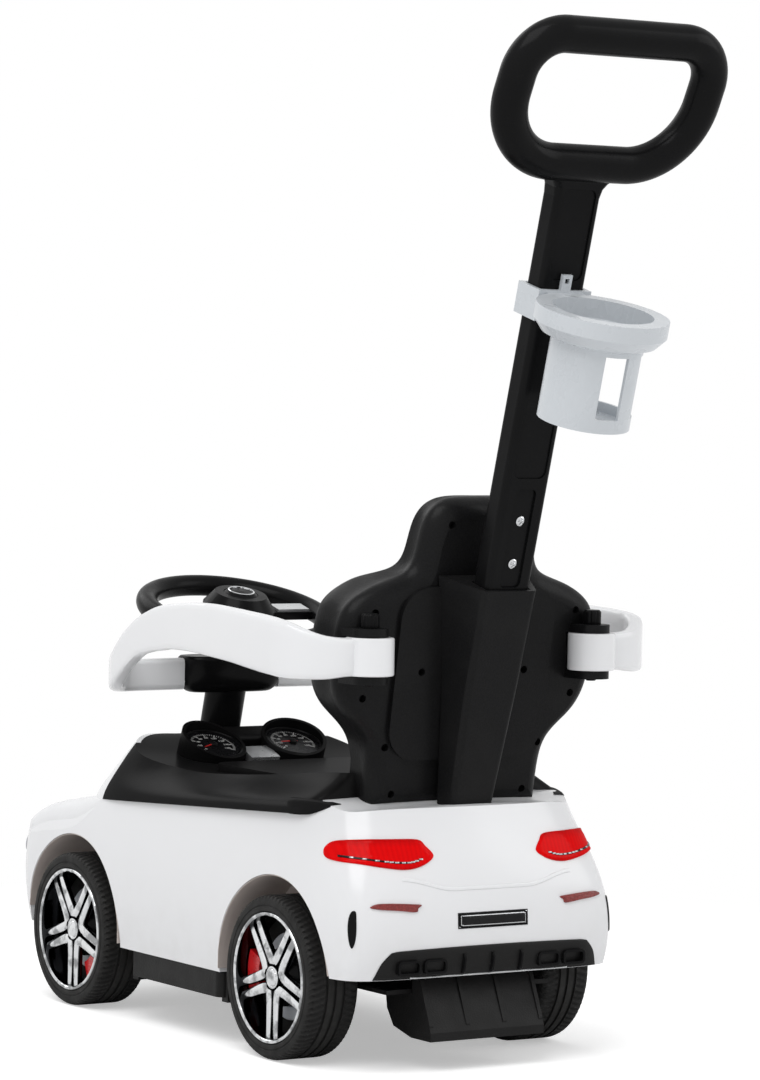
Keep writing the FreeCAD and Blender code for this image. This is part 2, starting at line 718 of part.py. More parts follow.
def make_windscreen():
    cowl = cowl_form.cut(body_outer).cut(column_space(size.trim_gap))
    glass_half = 0.72 * size.seat_half
    foot = size.bonnet_height + 12
    head = size.belt_height + size.dash_rise - 16
    taper = 8
    right = [(glass_half + taper, foot), (glass_half - taper, head)]
    corners = right + [(-x, z) for x, z in reversed(right)]
    face = Part.Face(Part.makePolygon([Vec(x, 0, z) for x, z in corners + corners[:1]]))
    window = face.extrude(Vec(0, 2 * nose, 0))
    proud = cabin_form(-0.5 * size.trim_proud, 0)
    glass = proud.common(window).cut(cabin_outer)
    glass.translate(Vec(0, -size.trim_gap, 0))
    keep(feature("windscreen_cowl_form", cowl), "windscreen_cowl")
    keep(feature("windscreen_form", glass), "windscreen")


make_windscreen()


def leaned(point, lean):
    """The upright direction leaned to the rear about a point, as a placement."""
    return FreeCAD.Placement(point, FreeCAD.Rotation(Vec(-1, 0, 0), lean))


def gauge_placement(side):
    return leaned(Vec(side * size.pod_spread, size.pod_place, size.pod_height), size.pod_lean)


def above_pod(side):
    """What is cut off a pod, so that its rim falls to the rear and to the centre."""
    fall = [math.tan(math.radians(angle)) for angle in (size.pod_toe, size.pod_slant)]
    reach = 2 * size.pod_radius
    cutter = block(-reach, reach, -reach, reach, 0, reach)
    turn = FreeCAD.Rotation(Z_AXIS, Vec(-side * fall[0], fall[1], 1))
    cutter.Placement = gauge_placement(side).multiply(FreeCAD.Placement(Vec(0, 0, size.pod_hood), turn))
    return cutter


# Backrest outline and shells, drawn upright at the foot and leaned afterwards
back_placement = leaned(Vec(0, size.back_place, size.back_foot), size.back_lean)


def back_outline(depth, inset):
    """The backrest seen from behind, at a depth, drawn in by an inset."""
    foot = size.back_foot_half - inset
    wide = size.back_half - inset
    head = size.head_half - inset
    flare = size.back_flare
    middle = size.back_wide
    shoulder = size.back_shoulder - inset
    top = size.head_top - inset
    right = [
        (foot, inset),
        (foot, 0.55 * flare),
        (foot + 0.02 * (wide - foot), flare),
        (foot + 0.75 * (wide - foot), flare + 0.3 * (middle - flare)),
        (wide + 2, 0.25 * flare + 0.75 * middle),
        (wide + 1, 0.5 * middle + 0.5 * shoulder),
        (0.95 * wide, shoulder - 18),
        (0.74 * wide, shoulder - 2),
        (head + 8, shoulder + 6),
        (head + 1, shoulder + 26),
        (head - 1, top - 18),
        (0.7 * head, top + 2),
        (0, top + 1),
    ]
    left = [(-x, z) for x, z in reversed(right[:-1])]
    curve = Part.BSplineCurve()
    curve.buildFromPoles([Vec(x, depth, z) for x, z in right + left], False, 3)
    base = Part.LineSegment(Vec(-foot, depth, inset), Vec(foot, depth, inset))
    return Part.Wire([curve.toShape(), base.toShape()])


def back_shell(sections):
    return Part.makeLoft([back_outline(depth, inset) for depth, inset in sections], True, False)


# Screw holes on the back, from the centre line and above the foot
SCREW_PLACES = [(72, 14), (84, 58), (114, 104), (56, 128), (110, 182), (38, 262)]
SCREW_HOLE = 3.6


def make_backrest():
    rear_depth = size.back_rear_depth
    total = rear_depth + size.back_front_depth
    soft = size.back_round
    rear = back_shell([(-rear_depth, 0), (-0.75 * soft, 0.8), (-0.28 * soft, 0.4 * soft), (0, soft)])
    front = back_shell([(-rear_depth, 0), (-0.6 * total, 0.5), (-total + 6, 3), (-total, 10)])
    scoop_middle = Vec(0, -rear_depth - 8 - size.back_scoop, -20)
    scoop = Part.makeCylinder(size.back_scoop, size.head_top + 40, scoop_middle, Z_AXIS)
    slim = -size.back_waist * total
    waist = [(-total - 1, -1), (slim, -1), (slim, 0.6 * size.back_flare), (-total - 1, size.back_wide)]
    wide = 2 * size.back_half
    waist_face = Part.Face(Part.makePolygon([Vec(-wide, y, z) for y, z in waist + waist[:1]]))
    front = front.cut(scoop).cut(waist_face.extrude(Vec(2 * wide, 0, 0)))
    panel = Part.makeBox(2 * size.panel_half, rear_depth, size.panel_height)
    panel.translate(Vec(-size.panel_half, size.panel_raise - rear_depth, size.panel_foot))
    rear = rear.fuse(panel.makeFillet(0.36 * size.panel_half, edges_along(panel, Y_AXIS)))
    for side in (1, -1):
        for x, z in SCREW_PLACES:
            hole = Part.makeCylinder(SCREW_HOLE, 12, Vec(side * x, size.panel_raise + 1, z), Vec(0, -1, 0))
            rear = rear.cut(hole)
    for shell in (rear, front):
        shell.Placement = back_placement
    return rear.cut(body_outer), front.cut(body_outer)


back_rear, back_front = make_backrest()


# Guard hinge ears stand on the backrest above and below each arm boss
def make_ears(rear):
    gap = size.joint_gap
    levels = [size.guard_high_rear + gap, size.guard_low_rear - gap - size.ear_thickness]
    for side in (1, -1):
        pin = Vec(side * size.pin_half, size.pin_place, 0)
        sweep = Part.makeCylinder(
            size.boss_radius + 1.5, size.guard_high_rear - size.guard_low_rear + 2 * gap,
            pin + Vec(0, 0, size.guard_low_rear - gap))
        rear = rear.cut(sweep)
        for level in levels:
            width = 0.75 * size.boss_radius
            plate = block(pin.x - width, pin.x + width, pin.y - 26, pin.y, level, level + size.ear_thickness)
            nose_end = Part.makeCylinder(width, size.ear_thickness, pin + Vec(0, 0, level))
            rear = rear.fuse(plate.fuse(nose_end))
        bore = Part.makeCylinder(size.pin_radius, 200, pin + Vec(0, 0, size.guard_low_rear - 60))
        rear = rear.cut(bore)
    return rear


back_rear = make_ears(back_rear)
keep(feature("backrest_rear_form", back_rear), "backrest_rear_shell")
keep(feature("backrest_front_form", back_front), "backrest_front_shell")


# Saddle with dash pods, seat lid recess and the way down to the bin
lid_top = size.lid_base + size.lid_thickness
lid_middle = size.lid_base + size.lid_thickness / 2


def lid_form(gap):
    """The seat lid: rounded front corners and a rear edge rounded about the hinge."""
    half = size.lid_half + gap
    front = size.lid_front - gap
    slab = block(-half, half, front, size.lid_hinge, size.lid_base - gap, lid_top)
    front_corners = [edge for edge in edges_along(slab, Z_AXIS) if edge.BoundBox.YMax < front + 1]
    slab = slab.makeFillet(size.lid_corner, front_corners)
    radius = size.lid_thickness / 2 + gap
    roll = rod(radius, Vec(-half, size.lid_hinge, lid_middle), Vec(half, size.lid_hinge, lid_middle))
    return slab.fuse(roll)


def make_saddle():
    above_belt = block(-200, 200, nose, 0, size.belt_height + 20, 400)
    saddle = cabin_outer.cut(cowl_form).cut(body_outer).fuse(pod_bridge().common(above_belt))
    for side in (1, -1):
        frame = gauge_placement(side)
        pod = Part.makeCylinder(size.pod_radius, 2 * size.pod_radius, Vec(0, 0, -size.pod_radius))
        bore = Part.makeCylinder(size.pod_radius - size.pod_wall, 2 * size.pod_radius)
        pod.Placement = frame
        bore.Placement = frame
        pod = pod.cut(above_pod(side)).common(above_belt)
        saddle = saddle.fuse(pod).cut(bore)
    recess = lid_form(size.joint_gap)
    rim = size.lid_half + size.joint_gap
    roll_end = size.lid_hinge + size.lid_thickness / 2 + size.joint_gap
    seat_well = block(-rim, rim, size.lid_front, size.lid_hinge, lid_top - 0.1, lid_top + 60)
    hinge_well = block(-rim, rim, size.lid_hinge, roll_end, lid_middle, lid_top + 60)
    hole_half = size.bin_half + size.bin_gap
    hole_front = size.lid_front + size.bin_front
    hole_rear = size.lid_hinge - size.bin_rear
    bin_hole = block(-hole_half, hole_half, hole_front, hole_rear, 0, lid_top)
    ledge = block(-rim, rim, hole_front - size.bin_flange, hole_rear + size.bin_flange,
                  size.lid_base - size.bin_flange, size.lid_base)
    hinge = rod(size.hinge_radius, Vec(-size.lid_half - 10, size.lid_hinge, lid_middle),
                Vec(size.lid_half + 10, size.lid_hinge, lid_middle))
    tube = column_space(0)
    shaft = rod(size.shaft_radius + 5, column_point(150), column_point(size.column_foot))
    tools = [recess, seat_well, hinge_well, bin_hole, ledge, hinge, tube, shaft]
    for tool in tools + [back_rear, back_front, display_form()]:
        saddle = saddle.cut(tool)
    return keep(feature("saddle_form", saddle), "saddle")


def display_form():
    """The silver centre display, leaned like the gauges."""
    deep = size.display_depth / 2
    plate = block(-size.display_half, size.display_half, -deep, deep, -6, 2)
    plate.Placement = leaned(Vec(0, size.pod_place + 14, size.pod_height - size.display_drop), size.pod_lean)
    return plate


def pod_bridge():
    """The raised part of the dash that joins the two pods in front of the display."""
    bridge = block(-size.pod_spread, size.pod_spread, -size.pod_radius, -0.2 * size.pod_radius,
                   -size.pod_radius, size.bridge_rise)
    top = [edge for edge in edges_along(bridge, X_AXIS) if edge.BoundBox.ZMin > 0]
    bridge = bridge.makeFillet(0.8 * size.bridge_rise, top)
    bridge.Placement = leaned(Vec(0, size.pod_place, size.pod_height), size.pod_lean)
    return bridge


make_saddle()
keep(feature("dash_display_form", display_form()), "dash_display")


def make_seat():
    lid = lid_form(0)
    knuckle = rod(size.hinge_radius + size.run_gap, Vec(-size.lid_half - 1, size.lid_hinge, lid_middle),
                  Vec(size.lid_half + 1, size.lid_hinge, lid_middle))
    keep(feature("seat_lid_form", lid.cut(knuckle)), "seat_lid")
    pin = cylinder("seat_hinge_pin_rod", "hinge_radius", "2 * lid_half + 20", "-lid_half - 10", "lid_hinge",
                   "lid_base + lid_thickness / 2", ALONG_X)
    keep(pin, "seat_hinge_pin")


make_seat()


def make_bin():
    front = "lid_front + bin_front + bin_gap"
    rear = "lid_hinge - bin_rear - bin_gap"
    top = "lid_base - bin_gap"
    outer = box("bin_outside", "-bin_half", "bin_half", front, rear, "bin_floor", top)
    flange = box("bin_flange_plate", "-lid_half", "lid_half", front + " - bin_flange", rear + " + bin_flange",
                 "lid_base - bin_flange + bin_gap", top)
    inside = box("bin_inside", "bin_wall - bin_half", "bin_half - bin_wall", front + " + bin_wall",
                 rear + " - bin_wall", "bin_floor + bin_wall", "lid_base + lid_thickness")
    keep(cut("bin_tray", fuse("bin_solid", outer, flange), inside), "storage_bin")


make_bin()


def lean_item(item, angle, x, y, z):
    """Leans an item to the rear about its own origin and places it."""
    item.Placement.Rotation = FreeCAD.Rotation(Vec(-1, 0, 0), 1)
    bind(item, Placement__Rotation__Angle=angle)
    return place(item, x, y, z)


def make_gauges():
    faces = []
    for name, side in (("left", ""), ("right", "-")):
        face = cylinder("gauge_face_" + name, "pod_radius - pod_wall", "gauge_thickness")
        faces.append(lean_item(face, "pod_lean", side + "pod_spread", "pod_place", "pod_height"))
    keep(fuse("gauge_pair", *faces), "gauge_faces")


make_gauges()


# Steering: pieces drawn along their own Z axis and leaned with the column
def on_column(item, height):
    along = "column_place + tan(column_lean) * (%s - column_level)" % height
    return lean_item(item, "column_lean", "0", along, height)


def make_column():
    length = "(wheel_level - column_foot) / cos(column_lean) - 20"
    tube = cut("column_bored", cylinder("column_outside", "column_radius", length),
               cylinder("column_bore", "shaft_radius + run_gap", "2 * wheel_level", z="-wheel_level / 2"))
    keep(on_column(tube, "column_foot"), "column_tube")


def make_steering_wheel():
    rim = doc.addObject("Part::Torus", "steer_rim")
    bind(rim, Radius1="steer_radius", Radius2="steer_grip")
    pad_base = cylinder("steer_pad_base", "steer_pad", "steer_pad_drop + steer_pad_rise", z="-steer_pad_drop")
    dome = doc.addObject("Part::Cone", "steer_pad_dome")
    bind(dome, Radius1="steer_pad", Radius2="0.72 * steer_pad", Height="steer_dome")
    place(dome, z="steer_pad_rise")
    cross = box("steer_cross", "-steer_radius", "steer_radius", "-steer_cross_half", "steer_cross_half",
                "-steer_spoke", "steer_spoke")
    tail_spoke = box("steer_tail_spoke", "-steer_tail_half", "steer_tail_half", "0", "steer_radius",
                     "-steer_spoke", "0.75 * steer_spoke")
    recess = cylinder("horn_recess", "horn_radius + joint_gap", "30", z="horn_floor")
    solid = fuse("steer_wheel_fused", rim, pad_base, dome, cross, tail_spoke)
    keep(on_column(cut("steer_wheel_solid", solid, recess), "wheel_level"), "steering_wheel")
    start, end = "steer_pad + spoke_trim_start", "steer_radius - spoke_trim_end"
    trims = [box("spoke_trim_" + name, x0, x1, "-spoke_trim_half", "spoke_trim_half", "steer_spoke",
                 "steer_spoke + spoke_trim_rise")
             for name, x0, x1 in (("left", start, end), ("right", "-(%s)" % end, "-(%s)" % start))]
    keep(on_column(fuse("spoke_trim_pair", *trims), "wheel_level"), "spoke_trims")
    button = new_body("horn_button_body")
    foot = "horn_floor + 0.3 + horn_travel"
    revolve(button, "horn_cap", [
        ("0", foot), ("horn_radius", foot), ("horn_radius", "horn_shoulder"),
        ("horn_radius - 3", "horn_shoulder + horn_crown - 1"), ("0", "horn_shoulder + horn_crown")],
        upright=True)
    keep(on_column(button, "wheel_level"), "horn_button")


def make_shaft():
    rise = "(wheel_level - shaft_foot) / cos(column_lean) - 12"
    shaft = cylinder("steer_shaft_rod", "shaft_radius", rise)
    arm = box("pitman_plate", "-8", "8", "-8", "pitman_length + 6", "-6", "0")
    peg = cylinder("pitman_peg", "peg_radius", "18", "0", "pitman_length", "-23")
    keep(on_column(fuse("steer_shaft_solid", shaft, arm, peg), "shaft_foot"), "steering_shaft")


make_column()
make_steering_wheel()
make_shaft()


# Front axle: beam, knuckles with stub axles, and the tie rod above their arms
def make_front_axle():
    front, rear = "-wheelbase / 2 - beam_half", "beam_half - wheelbase / 2"
    bar = box("beam_bar", "-kingpin_half - beam_end", "kingpin_half + beam_end", front, rear,
              "beam_level", "beam_level + beam_height")
    posts = [box("beam_post_" + name, x0, x1, front, rear, "sill_height + pan_thickness", "beam_level")
             for name, x0, x1 in (("left", "post_inner", "post_outer"),
                                  ("right", "-post_outer", "-post_inner"))]
    bores = [cylinder("kingpin_bore_" + name, "axle_radius + run_gap", "2 * beam_height", x, "-wheelbase / 2",
                      "beam_level - 0.5 * beam_height")
             for name, x in (("left", "kingpin_half"), ("right", "-kingpin_half"))]
    keep(cut("front_beam", fuse("front_beam_solid", bar, *posts), *bores), "front_axle_beam")
    top = "beam_level + beam_height + joint_gap"
    stub_end = "track_half + tyre_width / 2 - 8"
    for name, side in (("left", "1"), ("right", "-1")):
        pin_x = side + " * kingpin_half"
        hub = box("knuckle_block_" + name, pin_x + " - knuckle_half", pin_x + " + knuckle_half",
                  "-wheelbase / 2 - knuckle_half", "knuckle_half - wheelbase / 2", "wheel_radius - 9",
                  "beam_level - joint_gap")
        pin = cylinder("kingpin_" + name, "axle_radius", "beam_height + 12", pin_x, "-wheelbase / 2",
                       "beam_level - 5")
        stub_start = "kingpin_half" if name == "left" else "-(%s)" % stub_end
        stub = cylinder("stub_" + name, "axle_radius", stub_end + " - kingpin_half", stub_start,
                        "-wheelbase / 2", "wheel_radius", ALONG_X)
        arm = box("knuckle_arm_" + name, pin_x + " - arm_half", pin_x + " + arm_half",
                  "-wheelbase / 2 - 8", "steer_arm + arm_half - wheelbase / 2", top, "rod_level - joint_gap")
        peg = cylinder("knuckle_peg_" + name, "peg_radius", "rod_thickness + 4", pin_x,
                       "steer_arm - wheelbase / 2", "rod_level - 2")
        keep(fuse("knuckle_" + name, hub, pin, stub, arm, peg), "steering_knuckle_" + name)
    level = ("rod_level", "rod_level + rod_thickness")
    bar = box("tie_bar", "-kingpin_half - rod_end", "kingpin_half + rod_end",
              "steer_arm - arm_half - wheelbase / 2", "steer_arm + arm_half - wheelbase / 2", *level)
    peg_place = "column_place - tan(column_lean) * (column_level - rod_level - rod_thickness / 2)" \
                " + pitman_length / cos(column_lean)"
    tab = box("tie_tab", "-15", "15", peg_place + " - 12", "steer_arm - wheelbase / 2", *level)
    reach = "peg_radius + joint_gap"
    slots = [box("tie_slot_" + name, x + " - " + reach.replace("+", "-"), x + " + " + reach,
                 "steer_arm - wheelbase / 2 - 2 - " + reach.replace("+", "-"),
                 "steer_arm - wheelbase / 2 + " + reach, "rod_level - 5", "rod_level + rod_thickness + 5")
             for name, x in (("left", "kingpin_half"), ("right", "-kingpin_half"))]
    centre = box("tie_slot_centre", "-peg_radius - joint_gap", "peg_radius + joint_gap", peg_place + " - 8.5",
                 peg_place + " + 5.5", "rod_level - 5", "rod_level + rod_thickness + 5")
    keep(cut("tie_rod_solid", fuse("tie_rod_fused", bar, tab), centre, *slots), "tie_rod")


make_front_axle()


def make_rear_axle():
    keep(cylinder("rear_axle_rod", "axle_radius", "2 * track_half + tyre_width - 16",
                  "8 - track_half - tyre_width / 2", "wheelbase / 2", "wheel_radius", ALONG_X), "rear_axle")


make_rear_axle()


# Wheels: a moulded tyre on its axle, a plated rim with the disc behind its spokes, and a caliper
def make_wheel(corner, x, y, turned, caliper_start):
    def set_on_axle(item):
        if turned:
            item.Placement.Rotation = FreeCAD.Rotation(Z_AXIS, 180) * item.Placement.Rotation
        return place(item, x, y, "wheel_radius")

    face = "tyre_width / 2"
    bore = "axle_radius + run_gap"
    seat = "rim_radius + 0.3"
    tread_inside = "wheel_radius - tread_wall"
    tyre = new_body("tyre_body_" + corner)
    revolve(tyre, "tyre_turned_" + corner, [
        ("6 - " + face, bore), ("0", bore), ("0", seat), (face, seat), (face, "wheel_radius - 4"),
        (face + " - 5", "wheel_radius"), ("5 - " + face, "wheel_radius"), ("-" + face, "wheel_radius - 4"),
        ("-" + face, tread_inside), ("-web_thickness", tread_inside), ("-web_thickness", "hub_radius"),
        ("6 - " + face, "hub_radius")])
    keep(set_on_axle(tyre), "tyre_" + corner)

    rim = new_body("rim_body_" + corner)
    tip = face + " - rim_lip"
    revolve(rim, "rim_hub_" + corner, [
        ("0.3", bore), (face + " - 7.5", bore), (face + " - 7.5", "0"), (tip, "0"), (tip, "hub_cap_radius"),
        (tip + " - 2", "hub_radius + 2"), ("0.3 + disc_thickness", "hub_radius + 2"),
        ("0.3 + disc_thickness", "disc_radius"), ("0.3", "disc_radius")])
    sketch = sketch_on(rim, "spoke_outline_" + corner, "YZ_Plane")
    bind(sketch, AttachmentOffset__Base__z=tip + " - rim_face")
    for side in ("", "-"):
        polygon(sketch, [(side + "0.5 * spoke_gap", "hub_cap_radius"),
                         (side + "(0.5 * spoke_gap + spoke_width)", "hub_cap_radius"),
                         (side + "(spoke_gap + spoke_width)", "rim_radius - 2.5"),
                         (side + "spoke_gap", "rim_radius - 2.5")])
    spoke = rim.newObject("PartDesign::Pad", "spoke_" + corner)
    spoke.Profile = sketch
    bind(spoke, Length="rim_face")
    ring = rim.newObject("PartDesign::PolarPattern", "spokes_" + corner)
    ring.Originals = [spoke]
    ring.Axis = (sketch, ["N_Axis"])
    ring.Angle = 360
    bind(ring, Occurrences="spoke_count")
    rim.Tip = ring
    revolve(rim, "rim_lip_" + corner, [
        (face + " - rim_depth", "rim_radius - rim_lip"), (face, "rim_radius - rim_lip"), (face, "rim_radius"),
        (face + " - rim_depth", "rim_radius")])
    keep(set_on_axle(rim), "rim_" + corner)

    depth = face + " - rim_lip - rim_face - disc_thickness - 2.8"
    sector = cylinder("caliper_sector_" + corner, "caliper_outer", depth, z="0.5 + disc_thickness")
    bind(sector, Angle="caliper_sweep")
    hollow = cylinder("caliper_hollow_" + corner, "caliper_inner", "tyre_width", z="-tyre_width / 2")
    caliper = cut("caliper_solid_" + corner, sector, hollow)
    caliper.Placement.Rotation = FreeCAD.Rotation(X_AXIS, caliper_start) * FreeCAD.Rotation(Y_AXIS, 90)
    keep(set_on_axle(caliper), "caliper_" + corner)


make_wheel("front_left", "track_half", "-wheelbase / 2", False, 22)
make_wheel("front_right", "-track_half", "-wheelbase / 2", True, 22)
make_wheel("rear_left", "track_half", "wheelbase / 2", False, -112)
make_wheel("rear_right", "-track_half", "wheelbase / 2", True, -112)


# Chassis pan with the rear axle carriers and the footrest rails, and the footrests in them
tray_front = "tray_place - tray_length / 2"
tray_rear = "tray_place + tray_length / 2"
rail_foot = "sill_height - tray_height - 2 * joint_gap - rail_wall"


def make_pan():
    top = "sill_height + pan_thickness"
    reach = "wheelbase / 2 - arch_radius - liner_wall - joint_gap"
    front_half = "front_well_inner - liner_wall - joint_gap"
    rear_half = "rear_well_inner - liner_wall - joint_gap"
    wide = "body_half - flank_tuck - shell_wall - 1"
    pieces = [
        box("pan_middle", "-(%s)" % wide, wide, "-(%s)" % reach, reach, "sill_height", top),
        box("pan_front", "-(%s)" % front_half, front_half, "24 - wheelbase / 2 - front_overhang", "0",
            "sill_height", top),
        box("pan_rear", "-(%s)" % rear_half, rear_half, "0", "wheelbase / 2 + foot_place",
            "sill_height", top),
    ]
    for name, side in (("left", "1"), ("right", "-1")):
        middle = side + " * carrier_place"
        pieces.append(box("axle_carrier_" + name, middle + " - carrier_half", middle + " + carrier_half",
                          "wheelbase / 2 - carrier_half", "wheelbase / 2 + carrier_half", "sill_height",
                          "wheel_radius + carrier_rise"))
        inner = "tray_outer - tray_depth" if name == "left" else "rail_lip - tray_outer"
        outer = "tray_outer - rail_lip" if name == "left" else "tray_depth - tray_outer"
        for end, far, near, lip in (
                ("front", tray_front + " - joint_gap - rail_wall", tray_front + " - joint_gap",
                 tray_front + " + rail_lip"),
                ("rear", tray_rear + " + joint_gap + rail_wall", tray_rear + " + joint_gap",
                 tray_rear + " - rail_lip")):
            walls = (far, near) if end == "front" else (near, far)
            lips = (far, lip) if end == "front" else (lip, far)
            label = "%s_%s" % (name, end)
            pieces.append(box("rail_wall_" + label, inner, outer, *walls, rail_foot, "sill_height"))
            pieces.append(box("rail_lip_" + label, inner, outer, *lips, rail_foot,
                              rail_foot + " + rail_wall"))
    bore = cylinder("axle_carrier_bore", "axle_radius + run_gap", "4 * body_half", "-2 * body_half",
                    "wheelbase / 2", "wheel_radius", ALONG_X)
    keep(cut("pan_bored", fuse("pan_solid", *pieces), bore), "chassis_pan")


def make_footrest(name, turned):
    tray = new_body("footrest_body_" + name)
    slab = tray.newObject("PartDesign::AdditiveBox", "tray_slab_" + name)
    bind(slab, Length="tray_depth", Width="tray_length", Height="tray_height",
         Placement__Base__y="-tray_length / 2")
    rounded = tray.newObject("PartDesign::Fillet", "tray_corners_" + name)
    rounded.Base = (slab, ["Edge5", "Edge7"])
    bind(rounded, Radius="tray_corner")
    hollow = tray.newObject("PartDesign::SubtractiveBox", "tray_hollow_" + name)
    bind(hollow, Length="tray_depth - 2 * rail_wall", Width="tray_length - 4 * rail_wall",
         Height="tray_height - rail_wall", Placement__Base__x="rail_wall",
         Placement__Base__y="2 * rail_wall - tray_length / 2")
    groove = tray.newObject("PartDesign::SubtractiveBox", "tray_groove_" + name)
    bind(groove, Length="groove_width", Width="tray_length - 8 * rail_wall", Height="2 * groove_depth",
         Placement__Base__x="tray_depth - 2 * rail_wall",
         Placement__Base__y="4 * rail_wall - tray_length / 2",
         Placement__Base__z="tray_height - groove_depth")
    grooves = tray.newObject("PartDesign::LinearPattern", "tray_grooves_" + name)
    grooves.Originals = [groove]
    grooves.Direction = (origin_of(tray, "X_Axis"), [""])
    grooves.Reversed = True
    bind(grooves, Length="0.6 * tray_depth", Occurrences="groove_count")
    tray.Tip = grooves
    if turned:
        tray.Placement.Rotation = FreeCAD.Rotation(Z_AXIS, 180)
    foot = "sill_height - tray_height - joint_gap"
    place(tray, "tray_depth - tray_outer" if turned else "tray_outer - tray_depth", "tray_place", foot)
    keep(tray, "footrest_" + name)


make_pan()
make_footrest("left", False)
make_footrest("right", True)


# Anti-tip foot: a ramp with side walls that hangs from the rear end of the pan
def make_foot():
    front = "wheelbase / 2 + foot_place"
    ramp = new_body("foot_body")
    under = "sill_height - joint_gap"
    start = front + " - foot_length"
    end = front + " + foot_reach"
    pad(ramp, "foot_ramp", "YZ_Plane", [
        (start, under), (front + " + joint_gap", under), (front + " + joint_gap", "tail_height - 2"),
        (front + " + 10", "tail_height - 2"), (end, "foot_ground + foot_lip"), (end, "foot_ground"),
        (front, "foot_ground"), (start + " + 14", "foot_ground + 7"), (start + " + 3", "foot_ground + 22")],
        "2 * foot_half", centred=True)
    rib = pad(ramp, "foot_rib", "YZ_Plane", [
        (front + " + 3", "tail_height - 4"), (front + " + 13", "tail_height - 4"),
        (end + " - 2", "foot_ground + foot_lip + 6"), (end + " - 2", "foot_ground + 4"),
        (end + " - 10", "foot_ground + foot_lip")], "rail_wall")
    bind(rib.Profile[0], AttachmentOffset__Base__z="-foot_half")
    ribs = ramp.newObject("PartDesign::LinearPattern", "foot_ribs")
    ribs.Originals = [rib]
    ribs.Direction = (origin_of(ramp, "X_Axis"), [""])
    bind(ribs, Length="2 * foot_half - rail_wall", Occurrences="foot_rib_count")
    ramp.Tip = ribs
    keep(ramp, "anti_tip_foot")


make_foot()


# Guard arms: from the rear pin round the child to the hub on the column
hub_level = (size.guard_low_front + size.guard_high_front) / 2
hub_place = column_point(hub_level).y


def blend(values, share):
    """A smooth curve through evenly spaced values."""
    spot = share * (len(values) - 1)
    index = min(int(spot), len(values) - 2)
    t = spot - index
    before = values[max(index - 1, 0)]
    start, end = values[index], values[index + 1]
    after = values[min(index + 2, len(values) - 1)]
    rise = (end - before) / 2
    fall = (after - start) / 2
    return (start * (2 * t ** 3 - 3 * t ** 2 + 1) + rise * (t ** 3 - 2 * t ** 2 + t)
            + end * (3 * t ** 2 - 2 * t ** 3) + fall * (t ** 3 - t ** 2))


def guard_path():
    """Plan places along the left arm with the heading at each."""
    rear = size.guard_rear_corner
    front = size.guard_front_corner
    rear_centre = Vec(size.guard_half - rear, size.pin_place - rear, 0)
    front_centre = Vec(size.guard_front_half - front, hub_place + front, 0)
    spots = [(Vec(size.pin_half, size.pin_place, 0), 0), (Vec(rear_centre.x - 2, size.pin_place, 0), 0)]
    for angle in (30, 60, 88):
        turn = math.radians(angle)
        spots.append((rear_centre + Vec(rear * math.sin(turn), rear * math.cos(turn), 0), angle))
    flank = front_centre.y - rear_centre.y
    narrowing = size.guard_front_half - size.guard_half
    for step in range(1, 7):
        t = step / 7
        ease = 3 * t ** 2 - 2 * t ** 3
        slope = math.degrees(math.atan(6 * (t - t ** 2) * narrowing / flank))
        spots.append((Vec(size.guard_half + narrowing * ease, rear_centre.y + flank * t, 0), 90 + slope))
    for angle in (2, 30, 60):
        turn = math.radians(angle)
        spots.append((front_centre + Vec(front * math.cos(turn), -front * math.sin(turn), 0), 90 + angle))
    spots.append((Vec(front_centre.x - 2, hub_place, 0), 180))
    spots.append((Vec(size.hub_half + size.joint_gap, hub_place, 0), 180))
    return spots


def rounded_wire(spot, half, low, high, corner):
    """A rounded rectangle, with its points placed by a function of (side, up)."""
    bend = corner * (1 - math.sqrt(0.5))
    edges = [
        Part.LineSegment(spot(half, low + corner), spot(half, high - corner)),
        Part.Arc(spot(half, high - corner), spot(half - bend, high - bend), spot(half - corner, high)),
        Part.LineSegment(spot(half - corner, high), spot(corner - half, high)),
        Part.Arc(spot(corner - half, high), spot(bend - half, high - bend), spot(-half, high - corner)),
        Part.LineSegment(spot(-half, high - corner), spot(-half, low + corner)),
        Part.Arc(spot(-half, low + corner), spot(bend - half, low + bend), spot(corner - half, low)),
        Part.LineSegment(spot(corner - half, low), spot(half - corner, low)),
        Part.Arc(spot(half - corner, low), spot(half - bend, low + bend), spot(half, low + corner)),
    ]
    return Part.Wire([edge.toShape() for edge in edges])


def rounded_section(centre, heading, thick, low, high, corner):
    """An upright rounded rectangle across the path."""
    turn = math.radians(heading)
    across = Vec(math.sin(turn), math.cos(turn), 0)
    return rounded_wire(lambda side, up: centre + across * side + Vec(0, 0, up), thick / 2, low, high, corner)


